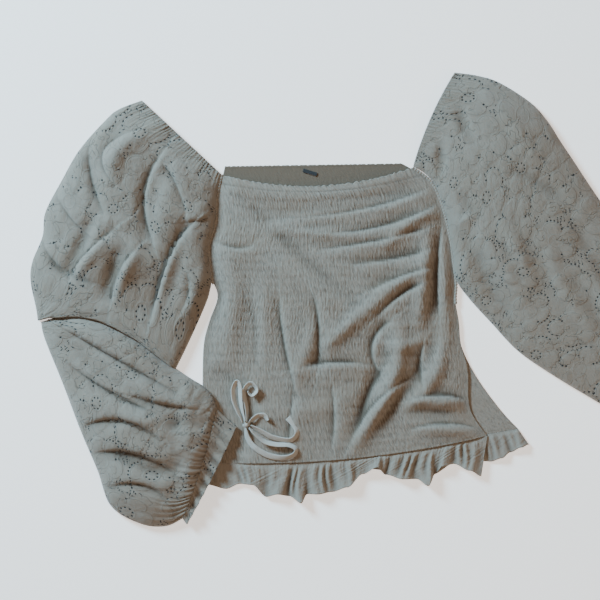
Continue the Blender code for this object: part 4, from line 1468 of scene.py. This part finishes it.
# Creases of the sleeves: start, middle, end, reach of the slope into the crease, its depth,
# reach of the roll beyond it, its height
UPPER_ROLLS = (
    (-292, 225, -292, 178, -272, 118, 9, 5.0, 8, 3.0),
    (-230, 236, -274, 205, -258, 160, 6, 3.5, 10, 5.0),
    (-188, 210, -216, 150, -205, 80, 20, 8.0, 12, 6.0),
    (-258, 98, -300, 62, -318, 34, 14, 7.0, 13, 6.5),
    (-228, 70, -252, 38, -264, -8, 12, 7.0, 12, 6.0),
    (-150, 106, -182, 60, -208, -28, 18, 9.5, 11, 7.0),
    (-158, 40, -155, 12, -168, -22, 6, 4.0, 9, 4.0),
    (-160, 108, -140, 110, -128, 112, 6, 3.5, 6, 3.0),
    (-358, 86, -352, 66, -328, 38, 7, 4.0, 8, 3.5),
    (-300, 252, -330, 190, -338, 130, 8, 3.0, 9, 3.0),
    (-192, 190, -172, 160, -158, 118, 8, 3.5, 9, 4.5),
    (-342, 150, -322, 118, -300, 96, 9, 3.5, 9, 3.5),
)
FOREARM_ROLLS = (
    (-330, -40, -262, -78, -172, -128, 9, 6.0, 13, 6.0),
    (-318, -92, -262, -128, -214, -150, 10, 5.0, 11, 5.0),
    (-300, -176, -246, -168, -190, -196, 10, 6.0, 12, 6.0),
    (-290, -214, -232, -214, -176, -240, 10, 6.0, 12, 5.0),
    (-272, -262, -224, -256, -186, -276, 9, 4.5, 11, 4.5),
    (-236, -132, -186, -146, -138, -152, 8, 4.0, 9, 4.0),
)


def build_sleeves(lace):
    upper = build_sleeve("left_upper_lace", UPPER_SECTIONS, UPPER_FOLDS, 236, 148, start_gather=1.1,
                         pleats=36, seed=11, edge=ELBOW_TUCK, rolls=UPPER_ROLLS, dive=0.9)
    dress(upper, lace, "cotton_lace", "left_sleeve_upper")
    forearm = build_sleeve("left_forearm_lace", FOREARM_SECTIONS, FOREARM_FOLDS, 220, 140, end_gather=1.15,
                           end_pleats=26, end_reach=24, seed=21, closed_start=True, floor=cuff_floor,
                           rolls=FOREARM_ROLLS)
    dress(forearm, lace, "cotton_lace", "left_sleeve_forearm")
    left_cuff = (next_section(FOREARM_SECTIONS[-1], -1), *LEFT_CUFF_SECTIONS)
    cuff = build_sleeve("left_cuff_lace", left_cuff, (), 24, 140, start_gather=1.2, pleats=26, start_reach=12,
                        seed=31, floor=cuff_floor, wave=CUFF_WAVE_HEIGHT, relief_scale=0.5)
    dress(cuff, lace, "cotton_lace", "left_cuff_frill")
    right = build_sleeve("right_sleeve_lace", RIGHT_SECTIONS, RIGHT_FOLDS, 336, 132, start_gather=1.1,
                         end_gather=1.7, pleats=34, end_pleats=24, end_reach=34, seed=41, turn=-1)
    dress(right, lace, "cotton_lace", "right_sleeve")
    right_cuff = (next_section(RIGHT_SECTIONS[-1], -1), *RIGHT_CUFF_SECTIONS)
    cuff = build_sleeve("right_cuff_lace", right_cuff, (), 24, 132, start_gather=1.2, pleats=24, start_reach=12,
                        seed=51, turn=-1, wave=CUFF_WAVE_HEIGHT, relief_scale=0.5)
    dress(cuff, lace, "cotton_lace", "right_cuff_frill")


def build_ties(tape):
    surface = front_surface()
    lengths = {}
    for name, route, steps in (
        ("left_tie_loop_upper", BOW_LOOP_UPPER, 70),
        ("left_tie_loop_lower", BOW_LOOP_LOWER, 90),
        ("left_tie_tail_curled", BOW_TAIL_CURLED, 60),
        ("left_tie_tail_short", BOW_TAIL_SHORT, 28),
        ("left_tie_tail_long", BOW_TAIL_LONG, 50),
    ):
        made, lengths[name] = build_tape(name + "_tape", route, surface, steps)
        dress(made, tape, "tie_tape", name)
    core, band = build_knot("left_knot_tape", BOW_KNOT, surface, math.radians(20))
    dress(core, tape, "tie_tape", "left_tie_knot")
    dress(band, tape, "tie_tape")

    def on_floor(x, y):
        return GAP

    for name, route, steps in (
        ("right_tie_lead", RIGHT_TIE_LEAD, 12),
        ("right_tie_loop_upper", turned_route(BOW_LOOP_UPPER), 64),
        ("right_tie_loop_lower", turned_route(BOW_LOOP_LOWER), 80),
        ("right_tie_tail_short", turned_route(BOW_TAIL_SHORT), 24),
        ("right_tie_tail_long", turned_route(BOW_TAIL_LONG), 44),
    ):
        made, lengths[name] = build_tape(name + "_tape", route, on_floor, steps)
        dress(made, tape, "tie_tape", name)
    core, band = build_knot("right_knot_tape", RIGHT_KNOT, on_floor, math.radians(20 + RIGHT_BOW_TURN))
    dress(core, tape, "tie_tape", "right_tie_knot")
    dress(band, tape, "tie_tape")


def build_label():
    label = bpy.data.objects["neck_label"]
    label.data.materials.clear()
    label.data.materials.append(label_material())


build_camera()
build_studio()
cotton_finish = shirred_material("shirred_cotton_finish", COTTON_LIGHT, COTTON_PAINTED_SHADE, BACK_BAND_PAINTED_SHADE)
plain_finish = plain_material("plain_cotton_finish", COTTON_LIGHT, COTTON_PAINTED_SHADE)
lace_finish = lace_material("cotton_lace_finish", LACE_LIGHT, LACE_PAINTED_SHADE)
tape_finish = tape_material()
build_body(cotton_finish, plain_finish)
build_sleeves(lace_finish)
build_ties(tape_finish)
build_label()
